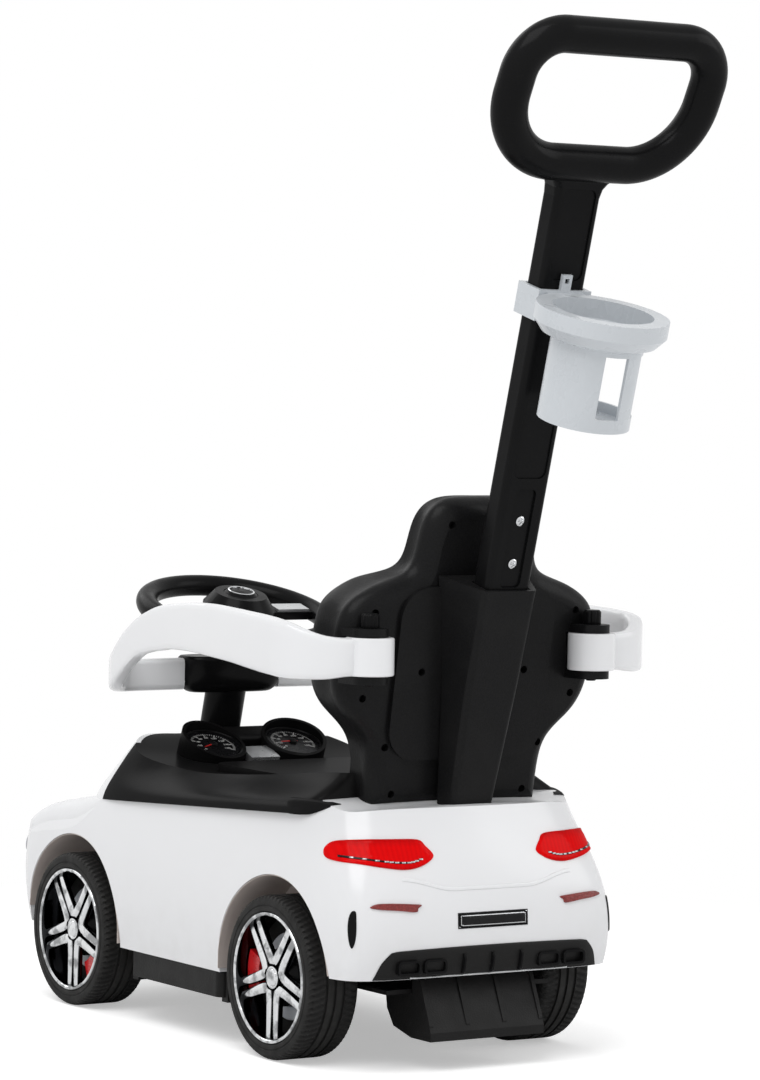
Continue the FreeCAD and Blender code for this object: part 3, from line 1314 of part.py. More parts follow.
def make_guard():
    lows = [size.guard_low_rear, size.guard_low_flank, size.guard_low_crest, size.guard_low_dip,
            size.guard_low_front]
    highs = [size.guard_high_rear, size.guard_high_flank, size.guard_high_crest, size.guard_high_dip,
             size.guard_high_front]
    spots = guard_path()
    lengths = [0]
    for (here, _), (there, _) in zip(spots, spots[1:]):
        lengths.append(lengths[-1] + (there - here).Length)
    sections = []
    for (centre, heading), length in zip(spots, lengths):
        share = length / lengths[-1]
        sections.append(rounded_section(
            centre, heading, size.guard_thickness, blend(lows, share), blend(highs, share), size.guard_round))
    band = Part.makeLoft(sections, True, False)
    pin = Vec(size.pin_half, size.pin_place, size.guard_low_rear)
    rise = size.guard_high_rear - size.guard_low_rear
    boss = Part.makeCylinder(size.boss_radius, rise, pin)
    bore = Part.makeCylinder(size.pin_radius + size.run_gap, rise + 20, pin - Vec(0, 0, 10))
    tongue = block(size.hub_half - size.tongue_reach, size.hub_half + size.guard_round,
                   hub_place - size.tongue_half, hub_place + size.tongue_half,
                   hub_level - size.tongue_rise, hub_level + size.tongue_rise)
    near_pin = (0, size.pin_half + size.boss_radius + 4, size.pin_place - 40, 2 * size.pin_place)
    above_boss = block(*near_pin, size.guard_high_rear, 2 * size.guard_high_rear)
    below_boss = block(*near_pin, 0, size.guard_low_rear)
    arm = band.cut(above_boss).cut(below_boss).fuse(boss).fuse(tongue).cut(bore)
    keep(feature("guard_arm_left_form", arm), "guard_arm_left")
    keep(feature("guard_arm_right_form", arm.mirror(Vec(0, 0, 0), X_AXIS)), "guard_arm_right")
    for name, x in (("left", "pin_half"), ("right", "-pin_half")):
        body = new_body("guard_pin_body_" + name)
        low = "guard_low_rear - joint_gap - ear_thickness - 2"
        seat = "guard_high_rear + joint_gap + ear_thickness"
        revolve(body, "guard_pin_turned_" + name, [
            ("0", low), ("pin_radius - 1", low), ("pin_radius", low + " + 1"), ("pin_radius", seat),
            ("knob_radius", seat), ("knob_radius", seat + " + 11"), ("knob_radius - 2", seat + " + 13"),
            ("0", seat + " + 13")], upright=True)
        keep(place(body, x, "pin_place"), "guard_pin_" + name)


def make_hub():
    half = size.hub_depth / 2
    low, high = size.guard_low_front - 3, size.guard_high_front + 2
    hub = block(-size.hub_half, size.hub_half, hub_place - half, hub_place + half, low, high)
    hub = hub.makeFillet(0.35 * half, edges_along(hub, Z_AXIS))
    tube = rod(size.column_radius, column_point(low - 40), column_point(high + 40))
    hub = hub.cut(tube)
    clear = size.tongue_half + size.tongue_clear
    rise = size.tongue_rise + size.joint_gap
    for side in (1, -1):
        depth = sorted((side * (size.hub_half - size.tongue_reach - 1), side * (size.hub_half + 10)))
        hub = hub.cut(block(*depth, hub_place - clear, hub_place + clear, hub_level - rise, hub_level + rise))
    keep(feature("guard_hub_form", hub), "guard_hub")


make_guard()
make_hub()


# Mast: drawn upright at its seat in the socket, then leaned
mast_seat = leaned(Vec(0, size.mast_place, size.mast_level), size.mast_lean)


def on_mast(item, height):
    """Leans an item with the mast and sets it a length above the seat."""
    return lean_item(item, "mast_lean", "0", "mast_place + sin(mast_lean) * (%s)" % height,
                     "mast_level + cos(mast_lean) * (%s)" % height)


def sunk_panel(width, low, high, depth, corner):
    """A tool that sinks a rounded panel into the rear face of the mast."""
    face = size.mast_depth / 2
    tool = block(-width / 2, width / 2, face - depth, face + depth, low, high)
    return tool.makeFillet(corner, edges_along(tool, Y_AXIS))


clip_height = (size.cup_level - size.mast_level) / math.cos(math.radians(size.mast_lean))


def make_mast():
    mast = new_body("mast_body")
    bar = mast.newObject("PartDesign::AdditiveBox", "mast_bar")
    bind(bar, Length="mast_width", Width="mast_depth", Height="mast_insert + mast_length - sleeve_reach",
         Placement__Base__x="-mast_width / 2", Placement__Base__y="-mast_depth / 2",
         Placement__Base__z="-mast_insert")
    rounded = mast.newObject("PartDesign::Fillet", "mast_corners")
    rounded.Base = (bar, ["Edge1", "Edge3", "Edge5", "Edge7"])
    bind(rounded, Radius="mast_corner")
    spigot = mast.newObject("PartDesign::AdditiveBox", "mast_spigot")
    thin = "(sleeve_wall + sleeve_gap)"
    bind(spigot, Length="mast_width - 2 * " + thin, Width="mast_depth - 2 * " + thin,
         Height="sleeve_reach + mast_wall", Placement__Base__x=thin + " - mast_width / 2",
         Placement__Base__y=thin + " - mast_depth / 2",
         Placement__Base__z="mast_length - sleeve_reach - mast_wall")
    hollow = mast.newObject("PartDesign::SubtractiveBox", "mast_hollow")
    bind(hollow, Length="mast_width - 2 * mast_wall", Width="mast_depth - 2 * mast_wall",
         Height="mast_insert + mast_length - sleeve_reach", Placement__Base__x="mast_wall - mast_width / 2",
         Placement__Base__y="mast_wall - mast_depth / 2", Placement__Base__z="-mast_insert - mast_wall")
    slot_top = size.slot_foot + size.slot_height
    clip_foot = clip_height - size.cup_ring_height
    slot = sunk_panel(size.slot_width, size.slot_foot, slot_top, size.slot_depth, size.slot_corner)
    inlay = sunk_panel(size.inlay_width, slot_top + size.inlay_gap, clip_foot - size.inlay_gap,
                       size.inlay_depth, size.inlay_corner)
    panels = [feature("mast_slot", slot), feature("mast_inlay", inlay)]
    keep(on_mast(cut("mast_panelled", mast, *panels), "0"), "push_mast")
    screws = []
    for name, height in (("low", "screw_low"), ("high", "screw_high")):
        screws.append(cylinder("mast_screw_" + name, "screw_radius", "slot_depth", "0",
                               "mast_depth / 2 - slot_depth", height, (X_AXIS, -90)))
    keep(on_mast(fuse("mast_screw_pair", *screws), "0"), "mast_screws")


def make_socket():
    rear = size.mast_depth / 2 + size.socket_wall
    wide = size.mast_width / 2 + size.socket_wall

    def section(height, front_half, front, rear_half):
        corners = [Vec(rear_half, rear, height), Vec(front_half, front, height),
                   Vec(-front_half, front, height), Vec(-rear_half, rear, height)]
        return Part.makePolygon(corners + corners[:1])

    top = section(-6, size.socket_flank, -rear - 14, wide)
    middle = section(-size.mast_insert - size.socket_wall, wide + 6, -rear, wide - 1)
    foot = section(-size.socket_length, size.socket_foot_half + 4, -2, size.socket_foot_half)
    socket = Part.makeLoft([foot, middle, top], True, True)
    long_edges = [edge for edge in socket.Edges
                  if edge.Length > 0.7 * size.mast_insert and edge.BoundBox.YMin > rear - 1]
    socket = socket.makeFillet(size.mast_corner, long_edges)
    gap = 0.3
    half, depth = size.mast_width / 2 + gap, size.mast_depth / 2 + gap
    socket = socket.cut(block(-half, half, -depth, depth, -size.mast_insert - gap, 40))
    socket.Placement = mast_seat
    socket = socket.cut(back_rear).cut(back_front).cut(body_outer)
    whole = max(socket.Solids, key=lambda solid: solid.Volume)
    keep(feature("mast_socket_form", whole), "mast_socket")


make_mast()
make_socket()


# Loop handle in two halves, joined on its own middle plane; the front one carries the neck
# Flare of the neck: rise in parts of the loop rise, share of the way to its full width
NECK_FLARE = [(-1.3, 0), (-0.7, 0.05), (-0.3, 0.16), (0.15, 0.38), (0.55, 0.68), (1, 1)]


def make_handle():
    neck = size.mast_length
    half, height = size.loop_half, size.loop_height
    low_bend = 0.62 * half
    high_bend = 0.38 * half
    flat = half - low_bend
    crown = half - high_bend

    def bend(centre_x, centre_z, radius, start, end, side):
        turns = [math.radians(angle) for angle in (start, (start + end) / 2, end)]
        spots = [Vec(side * (centre_x + radius * math.cos(turn)), 0, centre_z + radius * math.sin(turn))
                 for turn in turns]
        return Part.Arc(*(spots if side > 0 else spots[::-1])).toShape()

    def line(x0, z0, x1, z1):
        return Part.LineSegment(Vec(x0, 0, z0), Vec(x1, 0, z1)).toShape()

    edges = [
        line(0, 0, flat, 0),
        bend(flat, low_bend, low_bend, -90, 0, 1),
        line(half, low_bend, half, height - high_bend),
        bend(crown, height - high_bend, high_bend, 0, 90, 1),
        line(crown, height, -crown, height),
        bend(crown, height - high_bend, high_bend, 0, 90, -1),
        line(-half, height - high_bend, -half, low_bend),
        bend(flat, low_bend, low_bend, -90, 0, -1),
        line(-flat, 0, 0, 0),
    ]
    path = Part.Wire(edges)
    ellipse = Part.Ellipse(Vec(0, 0, size.grip_width / 2), Vec(0, size.grip_depth / 2, 0), Vec(0, 0, 0))
    loop = path.makePipeShell([Part.Wire(ellipse.toShape())], True, False)
    foot = mast_seat.multVec(Vec(0, size.loop_offset, neck + size.loop_rise))
    loop_frame = leaned(foot, size.loop_lean)
    loop.Placement = loop_frame

    def ring(height, wide, deep, shift):
        def spot(x, y):
            return mast_seat.multVec(Vec(x, shift + y, height))
        return rounded_wire(spot, wide, -deep, deep, size.mast_corner)

    neck_half = size.mast_width / 2
    neck_depth = size.mast_depth / 2
    sections = [ring(neck - size.sleeve_reach, neck_half, neck_depth, 0)]
    for rise, share in NECK_FLARE:
        wide = neck_half + share * (0.9 * low_bend - neck_half)
        deep = neck_depth + share * (0.3 * size.grip_depth - neck_depth)
        sections.append(ring(neck + rise * size.loop_rise, wide, deep, share * size.loop_offset))
    collar = Part.makeLoft(sections, True, True)
    inner_half = neck_half - size.sleeve_wall
    inner_depth = neck_depth - size.sleeve_wall
    spigot_hole = block(-inner_half, inner_half, -inner_depth, inner_depth, neck - 2 * size.sleeve_reach,
                        neck + size.sleeve_gap)
    inlay = sunk_panel(size.inlay_width, clip_height + size.inlay_gap, neck - size.inlay_gap,
                       size.inlay_depth, size.inlay_corner)
    for tool in (spigot_hole, inlay):
        tool.Placement = mast_seat
    collar = collar.cut(inlay)
    behind = block(-300, 300, 0, 300, -300, 300)
    behind.Placement = loop_frame
    front = loop.cut(behind).fuse(collar).cut(spigot_hole)
    rear = loop.common(behind).cut(collar).cut(spigot_hole)
    keep(feature("handle_front_form", front), "handle_loop_front")
    keep(feature("handle_rear_form", rear), "handle_loop_rear")


make_handle()


# Cup holder and the clip that holds it on the mast
def make_cup():
    height = "(cup_level - mast_level) / cos(mast_lean)"
    cup = new_body("cup_body")
    sleeve_in = "cup_sleeve - cup_wall"
    foot = "-cup_ring_height - cup_depth"
    revolve(cup, "cup_turned", [
        ("cup_bore", "0"), ("cup_ring", "0"), ("cup_ring", "-0.6 * cup_ring_height"),
        ("cup_sleeve + cup_flare", "-cup_ring_height"), ("cup_sleeve", "-cup_ring_height - 4"),
        ("cup_sleeve", foot), ("0.5 * cup_sleeve", foot), ("0.5 * cup_sleeve", foot + " + cup_wall"),
        (sleeve_in, foot + " + cup_wall"), (sleeve_in, "-cup_ring_height"),
        ("cup_bore", "-0.7 * cup_ring_height")], upright=True)
    for name, start, end in (("rear", 67, 99), ("side", 129, 227)):
        sketch = sketch_on(cup, "cup_window_outline_" + name, "XY_Plane")
        bind(sketch, AttachmentOffset__Base__z="-cup_ring_height - 8")
        rays = [("0", "0")] + [("1.6 * cup_sleeve * cos(%d)" % a, "1.6 * cup_sleeve * sin(%d)" % a)
                               for a in (start, (start + end) // 2, end)]
        polygon(sketch, rays)
        window = cup.newObject("PartDesign::Pocket", "cup_window_" + name)
        window.Profile = sketch
        bind(window, Length="cup_depth - 20")
    on_mast(cup, height)
    offset = "(mast_depth / 2 + clip_wall + cup_ring + clip_gap)"
    bind(cup, Placement__Base__y="mast_place + sin(mast_lean) * %s + cos(mast_lean) * %s" % (height, offset),
         Placement__Base__z="mast_level + cos(mast_lean) * %s - sin(mast_lean) * %s" % (height, offset))
    keep(cup, "cup_holder")
    half, depth = "mast_width / 2", "mast_depth / 2"
    outside = box("clip_outside", "-%s - clip_wall" % half, half + " + clip_wall", "-%s - clip_wall" % depth,
                  depth + " + clip_wall", "-cup_ring_height - 2", "2")
    cradle = box("clip_cradle", "-0.8 * " + half, "0.8 * " + half, "0", depth + " + clip_wall + 8",
                 "-cup_ring_height", "0")
    lug = box("clip_lug", "-lug_half", "lug_half", depth, depth + " + clip_wall", "0", "2 + lug_height")
    lug_slot = box("clip_lug_slot", "-0.45 * lug_half", "0.45 * lug_half", "0", "mast_depth",
                   "2 + 0.45 * lug_height", "2 + 0.75 * lug_height")
    inside = box("clip_inside", "-%s - clip_gap" % half, half + " + clip_gap", "-%s - clip_gap" % depth,
                 depth + " + clip_gap", "-2 * cup_ring_height", "cup_ring_height")
    ring = cylinder("clip_ring_seat", "cup_ring + clip_gap", "3 * cup_ring_height", "0", offset,
                    "-2 * cup_ring_height")
    clip = cut("cup_clip_solid", fuse("cup_clip_fused", outside, cradle, lug), inside, lug_slot, ring)
    keep(on_mast(clip, height), "cup_clip")


make_cup()


# Trim on the body: patches that stand proud of its form
body_skin = body_proud.cut(body_outer)


def patch(outline, heading):
    """Part of the proud skin inside an outline of (across, height), seen along a heading from the rear."""
    turn = math.radians(heading)
    across = Vec(math.cos(turn), -math.sin(turn), 0)
    outward = Vec(math.sin(turn), math.cos(turn), 0)
    start = outward * (0.8 * rear_axle)
    wire = closed_curve([across * t + start + Vec(0, 0, z) for t, z in outline])
    prism = Part.Face(wire).extrude(outward * tail)
    return body_skin.common(prism)


def both_sides(shape):
    return Part.Compound([shape, shape.mirror(Vec(0, 0, 0), X_AXIS)])


# Control points of trim outlines, as shares across from the inner tip and up from the lower edge
LEAF = [(0, 0.5), (0.2, 1), (0.5, 1), (0.8, 1), (1, 0.5), (0.8, 0), (0.5, 0), (0.2, 0)]
LAMP = [(0, 0.45), (0.1, 1), (0.3, 1), (0.6, 1), (0.88, 0.98),
        (1, 0.6), (0.95, 0.2), (0.7, 0.12), (0.4, 0.06), (0.14, 0)]
APRON = [(0, 0.5), (0.06, 0.95), (0.14, 1), (0.5, 1), (0.86, 1), (0.94, 0.95),
         (1, 0.5), (0.86, 0), (0.5, 0), (0.14, 0)]


def outline(shape, inner, outer, low, high):
    return [(inner + across * (outer - inner), low + up * (high - low)) for across, up in shape]


def make_trim():
    lamp = outline(LAMP, size.lamp_inner, size.lamp_outer, size.lamp_low, size.lamp_high)
    keep(feature("tail_lamp_form", both_sides(patch(lamp, size.lamp_heading))), "tail_lamps")
    reflector = outline(LEAF, size.reflector_inner, size.reflector_outer, size.reflector_low,
                        size.reflector_high)
    keep(feature("reflector_form", both_sides(patch(reflector, 0))), "rear_reflectors")
    vent = outline(LEAF, size.vent_inner, size.vent_outer, size.vent_low, size.vent_high)
    keep(feature("vent_form", both_sides(patch(vent, size.lamp_heading))), "rear_vents")
    eye = outline(LEAF, size.eye_inner, size.eye_outer, size.eye_low, size.eye_high)
    keep(feature("headlight_form", both_sides(patch(eye, size.eye_heading))), "headlights")
    grille = outline(LEAF, -size.grille_half, size.grille_half, size.grille_low, size.grille_high)
    keep(feature("grille_form", patch(grille, 180)), "front_grille")
    apron = outline(APRON, -size.apron_half, size.apron_half, size.tail_height - size.apron_height,
                    size.tail_height + size.apron_height)
    keep(feature("diffuser_form", patch(apron, 0).cut(lower_edge())), "rear_diffuser")


def make_tailpipes():
    pipes = []
    for share in (-1, 1):
        middle = Vec(size.pipe_place + share * size.pipe_pitch / 2, tail - 40, size.pipe_level)
        tubes = []
        for inset, corner in ((0, 4), (size.pipe_wall, 2.5)):
            up = size.pipe_height / 2 - inset
            section = rounded_section(middle, 90, size.pipe_width - 2 * inset, -up, up, corner)
            tubes.append(Part.Face(section).extrude(Vec(0, 40 + size.pipe_reach, 0)))
        pipes.append(tubes[0].cut(tubes[1]).cut(body_proud))
    keep(feature("tailpipe_form", both_sides(Part.Compound(pipes))), "tailpipes")


make_trim()
make_tailpipes()


# Writing out
doc.recompute()
for item in doc.Objects:
    if "Invalid" in item.State or "Error" in item.State:
        raise RuntimeError("failed: %s %s" % (item.Name, item.getStatusString()))
os.makedirs("parts", exist_ok=True)
for item in nodes:
    if item.Shape.isNull() or not item.Shape.isValid() or not item.Shape.Solids:
        raise RuntimeError("bad shape: %s" % item.Label)
    item.Shape.exportStep("parts/%s.step" % item.Label)
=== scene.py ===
"""Dresses the push car's frame: finishes, wheels, guard, dials, small trim and the studio."""

import math

import bmesh
import bpy
from bpy.props import FloatProperty, FloatVectorProperty, IntProperty, PointerProperty
from mathutils import Matrix, Vector
from mathutils.bvhtree import BVHTree


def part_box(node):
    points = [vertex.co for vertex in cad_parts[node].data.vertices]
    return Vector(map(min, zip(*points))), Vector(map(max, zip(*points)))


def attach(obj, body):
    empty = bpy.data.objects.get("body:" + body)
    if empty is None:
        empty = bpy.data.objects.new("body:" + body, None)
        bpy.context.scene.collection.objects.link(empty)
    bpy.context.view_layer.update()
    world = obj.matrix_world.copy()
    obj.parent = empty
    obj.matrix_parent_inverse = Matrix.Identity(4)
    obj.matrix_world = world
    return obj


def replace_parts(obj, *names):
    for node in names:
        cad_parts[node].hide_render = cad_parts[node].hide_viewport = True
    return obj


bl_info = {
    "name": "Push car dressing",
    "version": (1, 0, 0),
    "blender": (4, 5, 0),
    "location": "View3D > Sidebar > Push car",
    "description": "Finishes, wheels, guard, dials, trim and studio for the push car",
    "category": "Object",
}

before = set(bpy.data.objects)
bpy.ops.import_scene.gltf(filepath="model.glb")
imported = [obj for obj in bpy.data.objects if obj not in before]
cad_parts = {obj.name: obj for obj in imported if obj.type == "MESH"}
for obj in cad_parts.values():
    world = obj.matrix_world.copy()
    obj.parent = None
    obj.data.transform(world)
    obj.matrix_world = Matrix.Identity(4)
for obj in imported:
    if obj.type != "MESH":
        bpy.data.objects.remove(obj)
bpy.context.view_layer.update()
MM = 0.001
CORNERS = ("front_left", "front_right", "rear_left", "rear_right")
# Sides of the car, with the sign of X there
HANDS = {"left": 1, "right": -1}
UP = Vector((0, 0, 1))
# Points closer than this are merged
MERGE = 0.001 * MM
# Edges that turn by more degrees than this stay sharp
SHARP = 35
# Distance from the car's middle at which the rays that lay trim on the body start
FAR_OUT = 0.6
# Share of its lift that a laid panel keeps at its border
BORDER_LIFT = 0.4
# A raised shape from its foot to its middle, as shares of its outline and of its lift
RAISED = ((1.0, 0.4), (0.97, 0.8), (0.92, 1.0), (0.7, 1.0), (0.45, 1.0), (0.2, 1.0), (0.0, 1.0))
# Points from one point of a smooth outline to the next
LOOP_STEPS = 4


# Sizes and colours that a user may change
class CarColours(bpy.types.PropertyGroup):
    """Colours of the mouldings and trim."""
    body: FloatVectorProperty(name="Body", description="White body mouldings", subtype="COLOR",
                              default=(0.82, 0.825, 0.84), min=0, max=1)
    black: FloatVectorProperty(name="Black", description="Black mouldings", subtype="COLOR",
                               default=(0.0055, 0.0055, 0.0058), min=0, max=1)
    rubber: FloatVectorProperty(name="Rubber", description="Tyres", subtype="COLOR",
                                default=(0.014, 0.0138, 0.0136), min=0, max=1)
    cup: FloatVectorProperty(name="Cup", description="Cup holder", subtype="COLOR",
                             default=(0.57, 0.60, 0.63), min=0, max=1)
    lamp: FloatVectorProperty(name="Tail lamp", description="Red lamp lens", subtype="COLOR",
                              default=(0.76, 0.0012, 0.002), min=0, max=1)
    brake: FloatVectorProperty(name="Brake", description="Brake calipers", subtype="COLOR",
                               default=(0.62, 0.008, 0.012), min=0, max=1)
    liner: FloatVectorProperty(name="Liner", description="Wheel arch liners", subtype="COLOR",
                               default=(0.52, 0.456, 0.425), min=0, max=1)
    silver: FloatVectorProperty(name="Silver", description="Painted silver trim", subtype="COLOR",
                                default=(0.55, 0.56, 0.57), min=0, max=1)


class TyreSizes(bpy.types.PropertyGroup):
    """Tread of the tyres."""
    sipes: IntProperty(name="Sipes", description="Cuts across each shoulder", default=78, min=12, max=160)
    sipe_depth: FloatProperty(name="Sipe depth", description="Depth of a shoulder cut", subtype="DISTANCE",
                              default=1.5 * MM)
    groove_depth: FloatProperty(name="Groove depth", description="Depth of the grooves round the tread",
                                subtype="DISTANCE", default=1.8 * MM)


class DialSizes(bpy.types.PropertyGroup):
    """Scales on the gauge faces."""
    radius: FloatProperty(name="Scale radius", description="Outer end of the ticks", subtype="DISTANCE",
                          default=22.5 * MM)
    sweep: FloatProperty(name="Sweep", description="Angle from first to last tick", subtype="ANGLE",
                         default=math.radians(250))
    major: IntProperty(name="Long ticks", description="Numbered ticks", default=9, min=2, max=30)
    minor: IntProperty(name="Short ticks", description="All ticks of the fine scale", default=41, min=2,
                       max=121)


class TrimSizes(bpy.types.PropertyGroup):
    """Plate and diffuser trim on the tail, with a painted highlight strip along the diffuser's foot."""
    plate_half: FloatProperty(name="Plate half width", description="Bare number plate", subtype="DISTANCE",
                              default=38 * MM)
    plate_low: FloatProperty(name="Plate foot", description="Lower edge of the plate", subtype="DISTANCE",
                             default=129.3 * MM)
    plate_high: FloatProperty(name="Plate top", description="Upper edge of the plate", subtype="DISTANCE",
                              default=143.5 * MM)
    fins: IntProperty(name="Diffuser fins", description="Upright fins on the diffuser", default=3, min=1,
                      max=9)
    fin_pitch: FloatProperty(name="Fin pitch", description="From one fin to the next", subtype="DISTANCE",
                             default=31 * MM)
    # painted highlight: a silver strip along the diffuser's foot
    edge_half: FloatProperty(name="Bright edge half width", subtype="DISTANCE", default=86 * MM,
                             description="Silver strip along the diffuser's foot")


class StageSettings(bpy.types.PropertyGroup):
    """Studio light and the camera's place."""
    sky: FloatProperty(name="Sky", description="Light from all round", default=0.50, min=0, max=2)
    key: FloatProperty(name="Key", description="Large lamp above", subtype="POWER", default=52)
    lens: FloatProperty(name="Lens", description="Focal length on a 36 mm sensor", default=138.106)
    camera: FloatVectorProperty(name="Camera", description="Camera place", subtype="TRANSLATION",
                                default=(2.1240, 3.3760, 0.6100))
    heading: FloatProperty(name="Heading", description="Direction of view from -Y", subtype="ANGLE",
                           default=math.radians(33.160))
    dip: FloatProperty(name="Dip", description="View below the horizon", subtype="ANGLE",
                       default=math.radians(2.0647))
    roll: FloatProperty(name="Roll", description="Camera turned about its view", subtype="ANGLE",
                        default=math.radians(1.0595))


GROUPS = {"car_colours": CarColours, "tyre_sizes": TyreSizes, "dial_sizes": DialSizes,
          "trim_sizes": TrimSizes, "stage_settings": StageSettings}


def settings(name):
    """The scene's group of sizes, colours or places of that name."""
    return getattr(bpy.context.scene, name)


# Nodes
def tree_node(tree, kind, links=None, **values):
    """Adds a node, sets its properties and sockets by name, and links sources to its inputs."""
    item = tree.nodes.new(kind)
    for key, value in values.items():
        if key in item.bl_rna.properties:
            setattr(item, key, value)
        else:
            item.inputs[key.replace("_", " ")].default_value = value
    for key, source in (links or {}).items():
        tree.links.new(source, item.inputs[key])
    return item


# Finishes
class Finish:
    """One procedural material, with grain, changes of gloss, and tints on edges and in hollows, some of them
    painted shade, laid over a base colour.
    """
    # places of the colour sockets on a Mix node
    mix_under, mix_over, mix_result = 6, 7, 2
    # range that most noise lies in
    noise_low, noise_high = 0.3, 0.7

    def __init__(self, name, colour, roughness, metallic=0.0, **sockets):
        self.material = bpy.data.materials.new(name)
        self.material.use_nodes = True
        self.tree = self.material.node_tree
        self.shader = self.tree.nodes["Principled BSDF"]
        self.base = (*colour, 1.0)
        self.colour = None
        self.normal = None
        self.shader.inputs["Base Color"].default_value = self.base
        self.shader.inputs["Roughness"].default_value = roughness
        self.shader.inputs["Metallic"].default_value = metallic
        for socket, value in sockets.items():
            self.shader.inputs[socket.replace("_", " ")].default_value = value
        self.place = self.node("ShaderNodeTexCoord").outputs["Object"]

    def node(self, kind, links=None, **values):
        return tree_node(self.tree, kind, links, **values)

    def noise(self, scale, detail=3.0, stretch=None):
        place = self.place
        if stretch:
            place = self.node("ShaderNodeMapping", {"Vector": place}, Scale=stretch).outputs["Vector"]
        return self.node("ShaderNodeTexNoise", {"Vector": place}, Scale=scale, Detail=detail).outputs["Fac"]

    def cells(self, scale):
        return self.node("ShaderNodeTexVoronoi", {"Vector": self.place}, Scale=scale).outputs["Distance"]

    def mask(self, source, low, high, start=0.0, end=1.0):
        """Goes from start, where the source is low, to end, where it is high."""
        item = self.node("ShaderNodeMapRange", {"Value": source}, From_Min=low, From_Max=high, To_Min=start,
                         To_Max=end)
        return item.outputs["Result"]

    def height(self, low, high):
        """Goes from 0 at one height above the ground to 1 at another."""
        split = self.node("ShaderNodeSeparateXYZ", {"Vector": self.place})
        return self.mask(split.outputs["Z"], low, high)

    def pointed(self, low, high):
        """Goes from 0 at one sharpness to 1 at another; a flat is 0.5, edges are above it, hollows below."""
        return self.mask(self.node("ShaderNodeNewGeometry").outputs["Pointiness"], low, high)

    def times(self, first, second):
        return self.node("ShaderNodeMath", {0: first, 1: second}, operation="MULTIPLY").outputs["Value"]

    def tint(self, mask, colour):
        """Lays another colour over what is there, by a mask."""
        item = self.node("ShaderNodeMix", {"Factor": mask}, data_type="RGBA")
        if self.colour:
            self.tree.links.new(self.colour, item.inputs[self.mix_under])
        else:
            item.inputs[self.mix_under].default_value = self.base
        item.inputs[self.mix_over].default_value = (*colour, 1.0)
        self.colour = item.outputs[self.mix_result]
        self.tree.links.new(self.colour, self.shader.inputs["Base Color"])

    def mottle(self, colour, start, full, most, **noise):
        """Lays clouds of another colour over what is there: none at noise of start, the most at full."""
        self.tint(self.mask(self.noise(**noise), start, full, 0, most), colour)

    def gloss(self, low, high, **noise):
        """Lets the roughness wander between two values."""
        wander = self.mask(self.noise(**noise), self.noise_low, self.noise_high, low, high)
        self.tree.links.new(wander, self.shader.inputs["Roughness"])

    def relief(self, source, depth):
        """Raises the surface by a source, over what is raised already."""
        links = {"Height": source}
        if self.normal:
            links["Normal"] = self.normal
        self.normal = self.node("ShaderNodeBump", links, Strength=1.0, Distance=depth).outputs["Normal"]
        self.tree.links.new(self.normal, self.shader.inputs["Normal"])


def white_gloss():
    colour = settings("car_colours").body
    coat = Finish("white_gloss", colour, roughness=0.24, Specular_IOR_Level=0.4, Coat_Weight=0.2,
                  Coat_Roughness=0.08)
    coat.mottle((0.77, 0.775, 0.795), 0.35, 0.75, 0.10, scale=5, detail=2)
    coat.tint(coat.times(coat.height(0.16, 0.075), coat.mask(coat.noise(46, 5), 0.45, 0.75, 0, 0.12)),
              (0.55, 0.53, 0.50))
    coat.gloss(0.21, 0.26, scale=12, detail=2)
    coat.relief(coat.noise(420, 2), 0.008 * MM)
    return coat.material


def satin_black():
    skin = Finish("satin_black", settings("car_colours").black, roughness=0.34, Specular_IOR_Level=0.02,
                  Coat_Weight=0.10, Coat_Roughness=0.2)
    skin.mottle((0.009, 0.009, 0.0095), 0.4, 0.8, 0.5, scale=14, detail=4)
    skin.mottle((0.014, 0.014, 0.0145), 0.66, 0.74, 0.5, scale=70, detail=4, stretch=(1, 1, 14))
    skin.gloss(0.25, 0.40, scale=70, detail=5)
    skin.relief(skin.noise(900, 2), 0.05 * MM)
    return skin.material


def grained_black():
    skin = Finish("grained_black", settings("car_colours").black, roughness=0.5, Specular_IOR_Level=0.04,
                  Coat_Weight=0.13, Coat_Roughness=0.26)
    skin.tint(skin.mask(skin.cells(620), 0.1, 0.7, 0, 0.6), (0.0095, 0.0095, 0.010))
    skin.mottle((0.014, 0.0138, 0.0136), 0.5, 0.8, 0.5, scale=16, detail=5)
    skin.gloss(0.38, 0.56, scale=45, detail=5)
    skin.relief(skin.cells(620), 0.16 * MM)
    skin.relief(skin.noise(1500, 2), 0.06 * MM)
    return skin.material


def trim_black():
    skin = Finish("trim_black", (0.011, 0.0108, 0.0108), roughness=0.4, Specular_IOR_Level=0.13)
    skin.mottle((0.016, 0.0158, 0.0158), 0.4, 0.8, 0.6, scale=18, detail=4)
    skin.gloss(0.36, 0.52, scale=50, detail=5)
    skin.relief(skin.cells(700), 0.10 * MM)
    return skin.material


def seat_black():
    skin = Finish("seat_black", settings("car_colours").black, roughness=0.42, Specular_IOR_Level=0.0,
                  Coat_Weight=0.14, Coat_Roughness=0.28)
    skin.mottle((0.0105, 0.010, 0.010), 0.35, 0.75, 0.5, scale=11, detail=4)
    skin.gloss(0.32, 0.5, scale=30, detail=5)
    skin.relief(skin.cells(430), 0.22 * MM)
    skin.relief(skin.noise(1200, 2), 0.05 * MM)
    return skin.material


def rubber():
    skin = Finish("tyre_rubber", settings("car_colours").rubber, roughness=0.68, Specular_IOR_Level=0.16)
    skin.mottle((0.022, 0.0215, 0.021), 0.4, 0.8, 0.8, scale=40, detail=5)
    skin.tint(skin.times(skin.pointed(0.52, 0.60), skin.noise(160, 4)), (0.042, 0.041, 0.039))
    skin.gloss(0.5, 0.78, scale=90, detail=5)
    skin.relief(skin.noise(700, 3), 0.12 * MM)
    return skin.material


